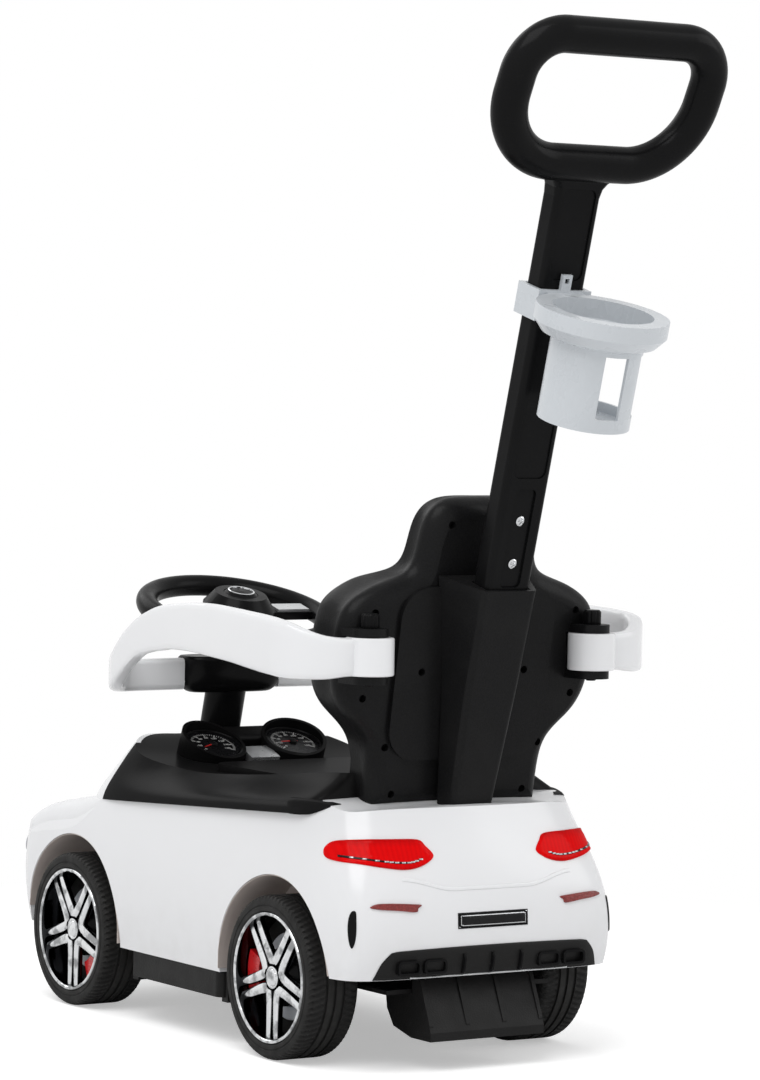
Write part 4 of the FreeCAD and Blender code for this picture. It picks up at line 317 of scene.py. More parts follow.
def chrome():
    plate = Finish("plated_chrome", (0.60, 0.61, 0.62), roughness=0.1, metallic=1.0)
    # painted shade: darker in the hollows, broken by noise
    plate.tint(plate.times(plate.pointed(0.48, 0.40), plate.noise(150, 4)), (0.20, 0.20, 0.21))
    plate.gloss(0.05, 0.16, scale=120, detail=5)
    plate.relief(plate.noise(160, 2), 0.02 * MM)
    return plate.material


def rim_chrome():
    """Chrome with painted reflections: bright on the faces that look outwards along the axle, dark on the
    flanks and in streaks.
    """
    plate = Finish("rim_chrome", (0.74, 0.75, 0.76), roughness=0.08, metallic=1.0)
    normal = plate.node("ShaderNodeNewGeometry").outputs["Normal"]
    along_axle = plate.node("ShaderNodeSeparateXYZ", {"Vector": normal}).outputs["X"]
    facing = plate.node("ShaderNodeMath", {0: along_axle}, operation="ABSOLUTE").outputs["Value"]
    # painted reflection: dark streaks by noise, then dark flanks where the faces turn away from the axle's
    # line
    plate.mottle((0.20, 0.205, 0.21), 0.47, 0.60, 0.8, scale=75, detail=3)
    plate.tint(plate.mask(facing, 0.75, 0.35), (0.035, 0.036, 0.038))
    plate.gloss(0.05, 0.14, scale=120, detail=5)
    plate.relief(plate.noise(160, 2), 0.03 * MM)
    return plate.material


def silver_paint():
    paint = Finish("silver_paint", settings("car_colours").silver, roughness=0.3, metallic=0.75)
    paint.mottle((0.75, 0.76, 0.77), 0.5, 0.75, 0.5, scale=2500, detail=2)
    paint.gloss(0.24, 0.38, scale=80, detail=5)
    paint.relief(paint.noise(900, 2), 0.02 * MM)
    return paint.material


def steel():
    bar = Finish("bare_steel", (0.42, 0.42, 0.43), roughness=0.3, metallic=1.0)
    bar.mottle((0.22, 0.21, 0.20), 0.5, 0.8, 0.6, scale=60, detail=5)
    bar.gloss(0.22, 0.45, scale=200, detail=4, stretch=(1, 30, 30))
    bar.relief(bar.noise(500, 3, (1, 20, 20)), 0.03 * MM)
    return bar.material


def red_lens():
    """Lamp lens, with painted shade along its upper and lower edge, and fine ribs moulded on its inner side.
    """
    lens = Finish("red_lens", settings("car_colours").lamp, roughness=0.1, Specular_IOR_Level=0.0,
                  Coat_Weight=0.1, Coat_Roughness=0.05)
    ribs = lens.node("ShaderNodeTexWave", {"Vector": lens.place}, bands_direction="X", Scale=70)
    lens.tint(lens.mask(ribs.outputs["Fac"], 0.2, 0.9, 0, 0.35), (0.60, 0.001, 0.002))
    # painted shade: darker towards the top and towards the foot of the lens, broken by noise
    lens.tint(lens.times(lens.height(0.203, 0.211), lens.noise(90, 3)), (0.26, 0.001, 0.002))
    lens.tint(lens.times(lens.height(0.190, 0.183), lens.noise(60, 3)), (0.36, 0.001, 0.002))
    lens.relief(ribs.outputs["Fac"], 0.05 * MM)
    lens.gloss(0.06, 0.16, scale=80, detail=4)
    return lens.material


def reflector_red():
    lens = Finish("reflector_red", (0.26, 0.030, 0.026), roughness=0.24, Specular_IOR_Level=0.35,
                  Coat_Weight=0.15, Coat_Roughness=0.06)
    lens.tint(lens.mask(lens.cells(520), 0.2, 0.6, 0, 0.7), (0.15, 0.014, 0.013))
    lens.relief(lens.cells(520), 0.25 * MM)
    lens.gloss(0.16, 0.32, scale=80, detail=4)
    return lens.material


def clear_lens():
    lens = Finish("clear_lens", (0.60, 0.62, 0.64), roughness=0.06, metallic=0.3, Coat_Weight=1.0,
                  Coat_Roughness=0.03)
    ribs = lens.node("ShaderNodeTexWave", {"Vector": lens.place}, bands_direction="X", Scale=55)
    lens.tint(lens.mask(ribs.outputs["Fac"], 0.3, 0.9, 0, 0.7), (0.30, 0.31, 0.33))
    lens.relief(ribs.outputs["Fac"], 0.2 * MM)
    lens.gloss(0.04, 0.12, scale=80, detail=4)
    return lens.material


def dark_glass():
    pane = Finish("dark_glass", (0.006, 0.0066, 0.008), roughness=0.06, Specular_IOR_Level=0.3)
    pane.mottle((0.012, 0.013, 0.016), 0.4, 0.8, 0.7, scale=6, detail=3)
    pane.gloss(0.04, 0.10, scale=60, detail=4)
    pane.relief(pane.noise(40, 2), 0.02 * MM)
    return pane.material


def disc_grey():
    disc = Finish("disc_grey", (0.72, 0.75, 0.80), roughness=0.5, metallic=0.1)
    disc.mottle((0.55, 0.575, 0.62), 0.4, 0.8, 0.6, scale=60, detail=4)
    disc.gloss(0.42, 0.6, scale=220, detail=4)
    disc.relief(disc.noise(700, 3), 0.05 * MM)
    return disc.material


def brake_red():
    paint = Finish("brake_red", settings("car_colours").brake, roughness=0.25, Coat_Weight=0.4,
                   Coat_Roughness=0.1)
    paint.mottle((0.36, 0.008, 0.010), 0.5, 0.8, 0.6, scale=120, detail=4)
    paint.gloss(0.2, 0.35, scale=90, detail=5)
    paint.relief(paint.noise(500, 3), 0.05 * MM)
    return paint.material


def cup_grey():
    skin = Finish("cup_grey", settings("car_colours").cup, roughness=0.3)
    skin.mottle((0.49, 0.52, 0.55), 0.4, 0.8, 0.35, scale=16, detail=4)
    skin.gloss(0.22, 0.38, scale=60, detail=5)
    skin.relief(skin.noise(420, 2), 0.04 * MM)
    return skin.material


def liner_grey():
    skin = Finish("liner_grey", settings("car_colours").liner, roughness=0.6)
    skin.mottle((0.42, 0.368, 0.343), 0.35, 0.75, 0.5, scale=18, detail=4)
    skin.gloss(0.5, 0.72, scale=60, detail=5)
    skin.relief(skin.noise(600, 3), 0.12 * MM)
    return skin.material


def dial_black():
    face = Finish("dial_black", (0.005, 0.005, 0.0055), roughness=0.25, Specular_IOR_Level=0.16)
    face.mottle((0.009, 0.009, 0.010), 0.4, 0.8, 0.6, scale=120, detail=4)
    face.gloss(0.18, 0.32, scale=100, detail=4)
    face.relief(face.noise(1200, 2), 0.02 * MM)
    return face.material


def print_white():
    ink = Finish("print_white", (0.50, 0.50, 0.49), roughness=0.5)
    ink.mottle((0.34, 0.34, 0.33), 0.45, 0.8, 0.5, scale=800, detail=3)
    ink.gloss(0.4, 0.6, scale=300, detail=3)
    return ink.material


def print_red():
    ink = Finish("print_red", (0.55, 0.012, 0.010), roughness=0.4)
    ink.mottle((0.36, 0.01, 0.01), 0.45, 0.8, 0.5, scale=600, detail=3)
    ink.gloss(0.3, 0.5, scale=300, detail=3)
    return ink.material


MAKERS = [white_gloss, satin_black, grained_black, trim_black, seat_black, rubber, chrome, rim_chrome,
          silver_paint, steel, red_lens, reflector_red, clear_lens, dark_glass, disc_grey, brake_red,
          cup_grey, liner_grey, dial_black, print_white, print_red]
# Materials by the name of their maker, filled by the first operator
FINISHES = {}
# Packed parts by finish, those that another piece replaces among them
NODE_FINISHES = {
    "white_gloss": ["body_shell", "windscreen_cowl", "guard_arm_left", "guard_arm_right"],
    "satin_black": ["push_mast", "handle_loop_front", "handle_loop_rear", "column_tube", "guard_hub",
                    "steering_wheel", "horn_button", "guard_pin_left", "guard_pin_right", "rear_vents",
                    "front_grille", "tailpipes"],
    "grained_black": ["backrest_rear_shell", "backrest_front_shell", "mast_socket", "storage_bin",
                      "front_axle_beam", "steering_knuckle_left", "steering_knuckle_right", "tie_rod"],
    "trim_black": ["rear_diffuser", "chassis_pan", "anti_tip_foot", "footrest_left", "footrest_right"],
    "seat_black": ["saddle", "seat_lid"],
    "chrome": ["rim_" + corner for corner in CORNERS] + ["mast_screws"],
    "rubber": ["tyre_" + corner for corner in CORNERS],
    "brake_red": ["caliper_" + corner for corner in CORNERS],
    "silver_paint": ["spoke_trims", "dash_display"],
    "steel": ["steering_shaft", "rear_axle", "seat_hinge_pin"],
    "red_lens": ["tail_lamps"],
    "reflector_red": ["rear_reflectors"],
    "clear_lens": ["headlights"],
    "dark_glass": ["windscreen"],
    "cup_grey": ["cup_holder", "cup_clip"],
    "dial_black": ["gauge_faces"],
}


# Mesh helpers
def mesh_from(name, form):
    """Makes a mesh of a finished bmesh, with its doubles merged and its faces turned outwards."""
    bmesh.ops.remove_doubles(form, verts=form.verts, dist=MERGE)
    bmesh.ops.recalc_face_normals(form, faces=form.faces)
    mesh = bpy.data.meshes.new(name)
    form.to_mesh(mesh)
    form.free()
    return mesh


def piece(name, form, finish, body, sharp=SHARP):
    """Turns a finished bmesh into an object that rides on a body."""
    return dress(bpy.data.objects.new(name, mesh_from(name, form)), finish, body, sharp)


def dress(item, finish, body, sharp=SHARP):
    """Shades, links and attaches a piece whose mesh is ready."""
    item.data.shade_smooth()
    item.data.set_sharp_from_angle(angle=math.radians(sharp))
    item.data.materials.clear()
    item.data.materials.append(FINISHES[finish])
    bpy.context.scene.collection.objects.link(item)
    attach(item, body)
    return item


def middle_of(name):
    """Middle of a node's box, and half its size along each axis."""
    low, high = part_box(name)
    return (low + high) / 2, (high - low) / 2


def wheel_of(corner):
    """Middle of a tyre, and the side of the car that it faces."""
    middle, _ = middle_of("tyre_" + corner)
    return middle, 1 if middle.x > 0 else -1


def mirrored(point, side):
    """The point itself for the left side, or its mirror image for the right."""
    return Vector((side * point.x, point.y, point.z))


def from_mm(points):
    return [tuple(value * MM for value in point) for point in points]


def skin_grid(form, rows, closed_rows=False, closed_columns=False):
    """Faces between rows of points; returns the rows as vertices."""
    grid = [[form.verts.new(point) for point in row] for row in rows]
    across = len(grid[0])
    for i in range(len(grid) - (0 if closed_rows else 1)):
        lower, upper = grid[i], grid[(i + 1) % len(grid)]
        for j in range(across - (0 if closed_columns else 1)):
            k = (j + 1) % across
            form.faces.new((lower[j], lower[k], upper[k], upper[j]))
    return grid


def ring_of(count, radius):
    """Offsets of a round outline."""
    turns = [2 * math.pi * i / count for i in range(count)]
    return [(radius * math.cos(turn), radius * math.sin(turn)) for turn in turns]


def lathe(form, profile, place, segments, outward, shift=None):
    """Turns a closed profile of (along, radius) about the X axis through a place."""
    rows = []
    for k in range(segments):
        turn = 2 * math.pi * k / segments
        row = []
        for along, radius in profile:
            if shift:
                radius -= shift(k, along, radius)
            row.append(place + Vector((outward * along, radius * math.cos(turn), radius * math.sin(turn))))
        rows.append(row)
    skin_grid(form, rows, closed_rows=True, closed_columns=True)


def turned_ring(form, section, count, place):
    """Turns a closed section of (radius, level), mm, about the upright axis of a place."""
    rows = []
    for a, b in ring_of(count, radius=1.0):
        rows.append([place @ (Vector((a * radius, b * radius, level)) * MM) for radius, level in section])
    skin_grid(form, rows, closed_rows=True, closed_columns=True)


def closed_tube(form, rows):
    """A skin round rows of points, with both ends closed."""
    grid = skin_grid(form, rows, closed_columns=True)
    form.faces.new(grid[0][::-1])
    form.faces.new(grid[-1])


def surface_of(*names):
    """Search trees for laying pieces on nodes."""
    trees = []
    for name in names:
        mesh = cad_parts[name].data
        corners = [vertex.co.copy() for vertex in mesh.vertices]
        trees.append(BVHTree.FromPolygons(corners, [tuple(face.vertices) for face in mesh.polygons]))
    return trees


def lay(trees, start, heading):
    """First place where a line from a start meets the nodes, with the surface's outward direction."""
    hits = [tree.ray_cast(start, heading) for tree in trees]
    hits = [hit for hit in hits if hit[0] is not None]
    if not hits:
        raise RuntimeError("nothing lies under %s" % (start,))
    point, normal, _, _ = min(hits, key=lambda hit: hit[3])
    return point, normal if normal.dot(heading) < 0 else -normal


def seen_along(turn, rows):
    """Starts and heading of rays that lay rows of (across, height) on the body, at a turn off the rear."""
    across = Vector((math.cos(turn), -math.sin(turn), 0))
    outward = Vector((math.sin(turn), math.cos(turn), 0))
    return [[across * t + outward * FAR_OUT + UP * z for t, z in row] for row in rows], -outward


def laid_slab(form, trees, starts, heading, lift, sink, side=1):
    """A thin panel that follows the body, with an edge that falls to the skin; side -1 mirrors it."""
    front, back = [], []
    last_row, last_column = len(starts) - 1, len(starts[0]) - 1
    for i, row in enumerate(starts):
        front.append([])
        back.append([])
        for j, start in enumerate(row):
            point, normal = lay(trees, start, heading)
            border = i in (0, last_row) or j in (0, last_column)
            front[i].append(mirrored(point + normal * (BORDER_LIFT * lift if border else lift), side))
            back[i].append(mirrored(point - normal * sink, side))
    near = skin_grid(form, front)
    far = [row[::-1] for row in skin_grid(form, [row[::-1] for row in back])]
    rim = [(0, j) for j in range(last_column)] + [(i, last_column) for i in range(last_row)]
    rim += [(last_row, j) for j in range(last_column, 0, -1)] + [(i, 0) for i in range(last_row, 0, -1)]
    for (i, j), (k, m) in zip(rim, rim[1:] + rim[:1]):
        form.faces.new((near[i][j], near[k][m], far[k][m], far[i][j]))


def between(before, start, end, after, t):
    """Smooth value between start and end."""
    return 0.5 * (2 * start + (end - before) * t + (2 * before - 5 * start + 4 * end - after) * t ** 2
                  + (3 * start - before - 3 * end + after) * t ** 3)


def four_round(points, i, closed=False):
    """The two points of the stretch that starts at a point, with one more on each side."""
    count = len(points)
    return [points[(i + k) % count if closed else min(max(i + k, 0), count - 1)] for k in (-1, 0, 1, 2)]


def smooth_stretch(four, count):
    """Points along a smooth curve from the second of four points to just before the third."""
    return [tuple(between(*values, k / count) for values in zip(*four)) for k in range(count)]


def laid_shape(form, trees, outline, turn, lift, sink, side=1):
    """A raised shape with a smooth outline of (across, height), laid on the body; side -1 mirrors it."""
    loop = []
    for i in range(len(outline)):
        loop += smooth_stretch(four_round(outline, i, closed=True), LOOP_STEPS)
    middle = [sum(values) / len(loop) for values in zip(*loop)]
    rows = []
    for share, level in [(0.0, -sink), (1.0, -sink)] + [(share, rise * lift) for share, rise in RAISED]:
        ring = [tuple(m + share * (p - m) for p, m in zip(point, middle)) for point in loop]
        starts, heading = seen_along(turn, [ring])
        row = []
        for start in starts[0]:
            point, normal = lay(trees, start, heading)
            row.append(mirrored(point + normal * level, side))
        rows.append(row)
    skin_grid(form, rows, closed_columns=True)


def block_rows(across, heights):
    """Rows of (across, height) over a rectangle."""
    return [[(t, z) for t in across] for z in heights]


def steps(low, high, count):
    return [low + (high - low) * i / (count - 1) for i in range(count)]


# Geometry Nodes trees
def new_tree(name, inputs):
    """An empty tree with named inputs and one geometry output."""
    tree = bpy.data.node_groups.new(name, "GeometryNodeTree")
    for label, kind, value in inputs:
        socket = tree.interface.new_socket(label, in_out="INPUT", socket_type=kind)
        if value is not None:
            socket.default_value = value
    tree.interface.new_socket("Geometry", in_out="OUTPUT", socket_type="NodeSocketGeometry")
    return tree, tree.nodes.new("NodeGroupInput"), tree.nodes.new("NodeGroupOutput")


def end_tree(tree, copies, given, result):
    """Makes the copies real, sets their finish and hands them out."""
    real = tree_node(tree, "GeometryNodeRealizeInstances", {"Geometry": copies.outputs["Instances"]})
    done = tree_node(tree, "GeometryNodeSetMaterial",
                     {"Geometry": real.outputs["Geometry"], "Material": given.outputs["Finish"]})
    tree.links.new(done.outputs["Geometry"], result.inputs["Geometry"])
    return tree


def scale_tree():
    """Ticks of a round scale: bars set on an arc about the middle of a dial."""
    tree, given, result = new_tree("dial_scale", [
        ("Ticks", "NodeSocketInt", 9), ("Radius", "NodeSocketFloat", 0.02),
        ("Sweep", "NodeSocketFloat", 4.0), ("Length", "NodeSocketFloat", 0.004),
        ("Width", "NodeSocketFloat", 0.001), ("Thickness", "NodeSocketFloat", 0.0003),
        ("Finish", "NodeSocketMaterial", None)])
    put = given.outputs

    def maths(operation, first, second):
        item = tree_node(tree, "ShaderNodeMath", {0: first}, operation=operation)
        if isinstance(second, float):
            item.inputs[1].default_value = second
        else:
            tree.links.new(second, item.inputs[1])
        return item.outputs["Value"]

    index = tree_node(tree, "GeometryNodeInputIndex").outputs["Index"]
    share = maths("DIVIDE", index, maths("SUBTRACT", put["Ticks"], 1.0))
    turn = maths("MULTIPLY", maths("SUBTRACT", share, 0.5), put["Sweep"])
    middle = maths("SUBTRACT", put["Radius"], maths("MULTIPLY", put["Length"], 0.5))
    x = maths("MULTIPLY", middle, maths("SINE", turn, 0.0))
    y = maths("MULTIPLY", middle, maths("COSINE", turn, 0.0))
    spot = tree_node(tree, "ShaderNodeCombineXYZ", {"X": x, "Y": y})
    points = tree_node(tree, "GeometryNodePoints",
                       {"Count": put["Ticks"], "Position": spot.outputs["Vector"]})
    bar_size = tree_node(tree, "ShaderNodeCombineXYZ",
                         {"X": put["Width"], "Y": put["Length"], "Z": put["Thickness"]})
    bar = tree_node(tree, "GeometryNodeMeshCube", {"Size": bar_size.outputs["Vector"]})
    spin = tree_node(tree, "ShaderNodeCombineXYZ", {"Z": maths("MULTIPLY", turn, -1.0)})
    turned = tree_node(tree, "FunctionNodeEulerToRotation", {"Euler": spin.outputs["Vector"]})
    bars = tree_node(tree, "GeometryNodeInstanceOnPoints", {
        "Points": points.outputs["Geometry"], "Instance": bar.outputs["Mesh"],
        "Rotation": turned.outputs["Rotation"]})
    return end_tree(tree, bars, given, result)


def repeat_tree():
    """Copies of one small part on marked points, each facing its own way."""
    tree, given, result = new_tree("repeat_on_points", [
        ("Geometry", "NodeSocketGeometry", None), ("Part", "NodeSocketObject", None),
        ("Scale", "NodeSocketFloat", 1.0), ("Finish", "NodeSocketMaterial", None)])
    put = given.outputs
    facing, along = [
        tree_node(tree, "GeometryNodeInputNamedAttribute", data_type="FLOAT_VECTOR", Name=label)
        for label in ("facing", "along")]
    upright = tree_node(tree, "FunctionNodeAlignRotationToVector",
                        {"Vector": facing.outputs["Attribute"]}, axis="Z")
    turned = tree_node(tree, "FunctionNodeAlignRotationToVector", {
        "Rotation": upright.outputs["Rotation"], "Vector": along.outputs["Attribute"]},
        axis="X", pivot_axis="Z")
    part = tree_node(tree, "GeometryNodeObjectInfo", {"Object": put["Part"]})
    copies = tree_node(tree, "GeometryNodeInstanceOnPoints", {
        "Points": put["Geometry"], "Instance": part.outputs["Geometry"],
        "Rotation": turned.outputs["Rotation"], "Scale": put["Scale"]})
    return end_tree(tree, copies, given, result)


def grown(name, source, tree, values):
    """Runs a tree on a source mesh and returns a plain mesh object."""
    scaffold = bpy.data.objects.new(name + "_scaffold", source)
    bpy.context.scene.collection.objects.link(scaffold)
    modifier = scaffold.modifiers.new(tree.name, "NODES")
    modifier.node_group = tree
    sockets = {item.name: item.identifier for item in tree.interface.items_tree if item.in_out == "INPUT"}
    for label, value in values.items():
        modifier[sockets[label]] = value
    bpy.context.view_layer.update()
    shown = scaffold.evaluated_get(bpy.context.evaluated_depsgraph_get())
    mesh = bpy.data.meshes.new_from_object(shown)
    mesh.name = name
    scaffold.modifiers.remove(modifier)
    bpy.data.objects.remove(scaffold)
    return bpy.data.objects.new(name, mesh)


def repeated(name, form, places, finish, body, sharp=SHARP):
    """One piece made of copies of a small part at (point, facing, along) places."""
    part = bpy.data.objects.new(name + "_part", mesh_from(name + "_part", form))
    bpy.context.scene.collection.objects.link(part)
    marks = bpy.data.meshes.new(name + "_marks")
    marks.from_pydata([place[0] for place in places], [], [])
    for label, column in (("facing", 1), ("along", 2)):
        attribute = marks.attributes.new(label, "FLOAT_VECTOR", "POINT")
        for item, place in zip(attribute.data, places):
            item.vector = place[column]
    tree = bpy.data.node_groups.get("repeat_on_points") or repeat_tree()
    made = grown(name, marks, tree, {"Part": part, "Scale": 1.0, "Finish": FINISHES[finish]})
    bpy.data.objects.remove(part)
    return dress(made, finish, body, sharp)


# Small parts that repeat
def screw_head(radius, height):
    """Domed head with a cross recess, standing on z = 0."""
    # rings as shares of the radius, and the fall of the dome and the cross as shares of the sizes
    rings = [0.0, 0.12, 0.26, 0.42, 0.58, 0.74, 0.9, 1.0]
    dome, cross_reach, cross_half, cross_depth = 0.55, 0.6, 0.13, 0.5
    outline = ring_of(count=32, radius=1.0)
    rows = []
    for share in rings:
        row = []
        for a, b in outline:
            x, y = share * a, share * b
            level = height * (1 - dome * share ** 2)
            if share < cross_reach and min(abs(x), abs(y)) < cross_half:
                level -= cross_depth * height
            row.append(Vector((radius * x, radius * y, level)))
        rows.append(row)
    rows.append([Vector((radius * a, radius * b, 0)) for a, b in outline])
    form = bmesh.new()
    grid = skin_grid(form, rows, closed_columns=True)
    form.faces.new(grid[-1])
    return form


def lens_cell(half_width, half_height, height):
    """Bevelled brick with a sloping top, standing on z = 0."""
    corners, slope = ((-1, -1), (1, -1), (1, 1), (-1, 1)), 0.2
    rows = []
    for share, level in ((1, 0), (1, 0.5), (0.7, 1.0)):
        rows.append([Vector((x * share * half_width, y * share * half_height,
                             height * (level + slope * level * x))) for x, y in corners])
    form = bmesh.new()
    closed_tube(form, rows)
    return form


# Operators
class MakeFinishes(bpy.types.Operator):
    """Makes the materials and gives every frame part its finish"""
    bl_idname = "pushcar.finishes"
    bl_label = "Finishes"

    def execute(self, context):
        for maker in MAKERS:
            FINISHES[maker.__name__] = maker()
        for finish, names in NODE_FINISHES.items():
            for name in names:
                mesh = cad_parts[name].data
                mesh.materials.clear()
                mesh.materials.append(FINISHES[finish])
        bare = set(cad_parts) - {name for names in NODE_FINISHES.values() for name in names}
        if bare:
            raise RuntimeError("parts without a finish: %s" % sorted(bare))
        return {"FINISHED"}


class MakeTyres(bpy.types.Operator):
    """Makes tyres with a cut tread, side wall rings and the web behind the rim"""
    bl_idname = "pushcar.tyres"
    bl_label = "Tyres"
    # segments from one sipe to the next
    per_sipe = 4
    # way beyond the rim's seat, and depth, along the side wall with its ring, mm
    side_wall = [(1.2, 0.0), (4.2, 0.0), (4.8, 0.6), (5.6, 0.6), (6.2, 0.0)]
    # distance from the side and from the tread along the shoulder, mm
    shoulder = [(0.4, 3.4), (1.5, 1.8), (3.2, 0.7), (5.6, 0.1), (10.0, 0.0), (14.0, 0.0)]
    # middles of the grooves round the tread, and half widths at the tread and at the groove's foot, mm
    grooves, groove_half, groove_foot = (9.0, 0.0, -9.0), 1.6, 1.2

    def execute(self, context):
        sizes = settings("tyre_sizes")
        for corner in CORNERS:
            middle, outward = wheel_of(corner)
            low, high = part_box("tyre_" + corner)
            radius, half = (high.z - low.z) / 2, (high.x - low.x) / 2
            form = bmesh.new()
            lathe(form, self.profile(radius, half, sizes.groove_depth), middle, self.per_sipe * sizes.sipes,
                  outward, self.sipe(radius, half, sizes.sipe_depth))
            tyre = piece("tread_" + corner, form, "rubber", "wheel_" + corner, sharp=28)
            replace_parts(tyre, "tyre_" + corner)
        return {"FINISHED"}

    def profile(self, radius, half, groove):
        """From the bore out over the side wall and the tread, and back along the web."""
        bore, hub, hub_inset, seat, seat_edge = 5.06 * MM, 12 * MM, 6 * MM, 60.3 * MM, 1.0 * MM
        wall, wall_end, web = 7 * MM, 5.4 * MM, 4 * MM
        points = [(hub_inset - half, bore), (0, bore), (0, seat), (half - seat_edge, seat)]
        points += [(half - depth * MM, seat + way * MM) for way, depth in self.side_wall]
        points += [(half, radius - wall_end)]
        points += [(half - a * MM, radius - b * MM) for a, b in self.shoulder]
        for place in self.grooves:
            for edge, depth in ((self.groove_half, 0), (self.groove_foot, groove),
                                (-self.groove_foot, groove), (-self.groove_half, 0)):
                points.append(((place + edge) * MM, radius - depth))
        points += [(a * MM - half, radius - b * MM) for a, b in reversed(self.shoulder)]
        points += [(-half, radius - wall_end), (-half, radius - wall), (-web, radius - wall)]
        return points + [(-web, hub), (hub_inset - half, hub)]

    def sipe(self, radius, half, depth):
        """Cuts one segment in each group on the shoulders, slanted to the rear."""
        inner, outer, skin, slant_step = half - 14.5 * MM, half - 1 * MM, radius - 3 * MM, 4 * MM

        def shift(k, along, r):
            on_shoulder = inner < abs(along) < outer and r > skin
            slant = int(abs(along) / slant_step) + (2 if along < 0 else 0)
            return depth if on_shoulder and (k + slant) % self.per_sipe == 0 else 0.0
        return shift


class MakeRims(bpy.types.Operator):
    """Makes rims of five double spokes with a deep lip, a cap and a brake disc behind"""
    bl_idname = "pushcar.rims"
    bl_label = "Rims"
    vees, segments, bar_steps = 5, 96, 49
    # closed profiles of (along, radius) from the tyre's mid plane outwards, mm
    lip = [(0.6, 60), (25.2, 60), (26, 59.4), (26, 57.2), (25.2, 56.4), (21, 55.6), (12, 55.0), (0.6, 54.4)]
    cap = [(14.6, 0), (14.6, 10.6), (20.4, 10.6), (21.2, 10.2), (21.6, 9.2), (21.3, 8.4), (20.9, 8.0),
           (21.5, 7.4), (22.0, 5.0), (22.2, 0)]
    core = [(0.5, 0), (0.5, 27), (9, 27), (15.2, 21), (16.0, 16), (16.0, 0)]
    disc = [(0.5, 27.4), (0.5, 40), (2.2, 40), (2.8, 39.4), (2.8, 28), (2.2, 27.4)]
    # across a bar as a share of its half width, and along the axle, mm
    section = [(-1, 15.4), (-1, 18.6), (-0.84, 20.2), (-0.5, 21.2), (0, 21.6), (0.5, 21.2), (0.84, 20.2),
               (1, 18.6), (1, 15.4)]
    # radius of a vee's root and tips and of the gap round the cap, and a bar's half width and taper, mm
    root, reach, cap_gap, bar_half, taper = 14.6, 57.4, 12.6, 5.6, 1.5
    # half the angle between a vee's tips, and how round its root is
    spread, soft = math.radians(29.6), 0.16

    def execute(self, context):
        for corner in CORNERS:
            middle, outward = wheel_of(corner)
            form = bmesh.new()
            self.turned(form, self.lip, middle, outward)
            self.turned(form, self.cap, middle, outward)
            for n in range(self.vees):
                self.vee(form, middle, outward, 2 * math.pi * n / self.vees)
            rim = piece("rim_star_" + corner, form, "rim_chrome", "wheel_" + corner, sharp=32)
            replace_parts(rim, "rim_" + corner)
            for name, profile, finish in (("rim_core_", self.core, "satin_black"),
                                          ("brake_disc_", self.disc, "disc_grey")):
                form = bmesh.new()
                self.turned(form, profile, middle, outward)
                piece(name + corner, form, finish, "wheel_" + corner, sharp=32)
        return {"FINISHED"}

    def turned(self, form, profile, middle, outward):
        lathe(form, from_mm(profile), middle, self.segments, outward)

    def vee_line(self, t):
        """Place on a vee's middle line, from one tip at -1 by the rounded root to the other at 1."""
        across, out = self.reach * math.sin(self.spread), self.reach * math.cos(self.spread)
        whole = math.sqrt(1 + self.soft ** 2) - self.soft
        return Vector((across * t, self.root + (out - self.root)
                       * (math.sqrt(t * t + self.soft ** 2) - self.soft) / whole))

    def vee(self, form, middle, outward, turn):
        """Two bars that part from a root near the cap, each half of a double spoke."""
        rows, nudge = [], 0.01
        for t in steps(-1, 1, self.bar_steps):
            here = self.vee_line(t)
            ahead = (self.vee_line(t + nudge) - self.vee_line(t - nudge)).normalized()
            across = Vector((-ahead.y, ahead.x))
            half = self.bar_half - self.taper * abs(t)
            row = []
            for share, along in self.section:
                spot = here + across * share * half
                if spot.length < self.cap_gap:
                    spot = spot.normalized() * self.cap_gap
                y = spot.x * math.cos(turn) + spot.y * math.sin(turn)
                z = spot.y * math.cos(turn) - spot.x * math.sin(turn)
                row.append(middle + Vector((outward * along, y, z)) * MM)
            rows.append(row)
        closed_tube(form, rows)


class MakeLiners(bpy.types.Operator):
    """Makes the grey liners that arch over the wheels inside the body"""
    bl_idname = "pushcar.liners"
    bl_label = "Arch liners"
    radius, thickness, flange, skirt = 93.6 * MM, 0.8 * MM, 34 * MM, 16 * MM
    first_turn, last_turn, turns = math.radians(8), math.radians(172), 49
    # place of the inner wall across the car
    walls = {"front": 66 * MM, "rear": 95 * MM}
    # the flank is felt from this far out, beyond the arch and above the sill, and the liner stays inside it
    feel_from, beyond, sill, margin = 0.4, 2.5 * MM, 120 * MM, 0.7 * MM

    def execute(self, context):
        skin = surface_of("body_shell")
        for corner in CORNERS:
            middle, side = wheel_of(corner)
            end = corner.split("_")[0]
            wall, hub, across = self.walls[end], Vector((0, middle.y, middle.z)), Vector((side, 0, 0))
            rows = []
            for turn in steps(self.first_turn, self.last_turn, self.turns):
                spoke = Vector((0, math.cos(turn), math.sin(turn)))
                start = hub + spoke * (self.radius + self.beyond) + across * self.feel_from
                start.z = max(start.z, self.sill)
                flank, _ = lay(skin, start, -across)
                outer = abs(flank.x) - self.margin
                rows.append([hub + spoke * (self.radius - depth) + across * reach for reach, depth in (
                    (wall, 0), (outer, 0), (outer, self.thickness), (wall + self.thickness, self.thickness),
                    (wall + self.thickness, self.flange), (wall, self.flange))])
            sill_end, drop_at = (0, 0) if end == "front" else (-1, len(rows))
            rows.insert(drop_at, [point - UP * self.skirt for point in rows[sill_end]])
            form = bmesh.new()
            closed_tube(form, rows)
            piece("arch_liner_" + corner, form, "liner_grey", "car")
        return {"FINISHED"}


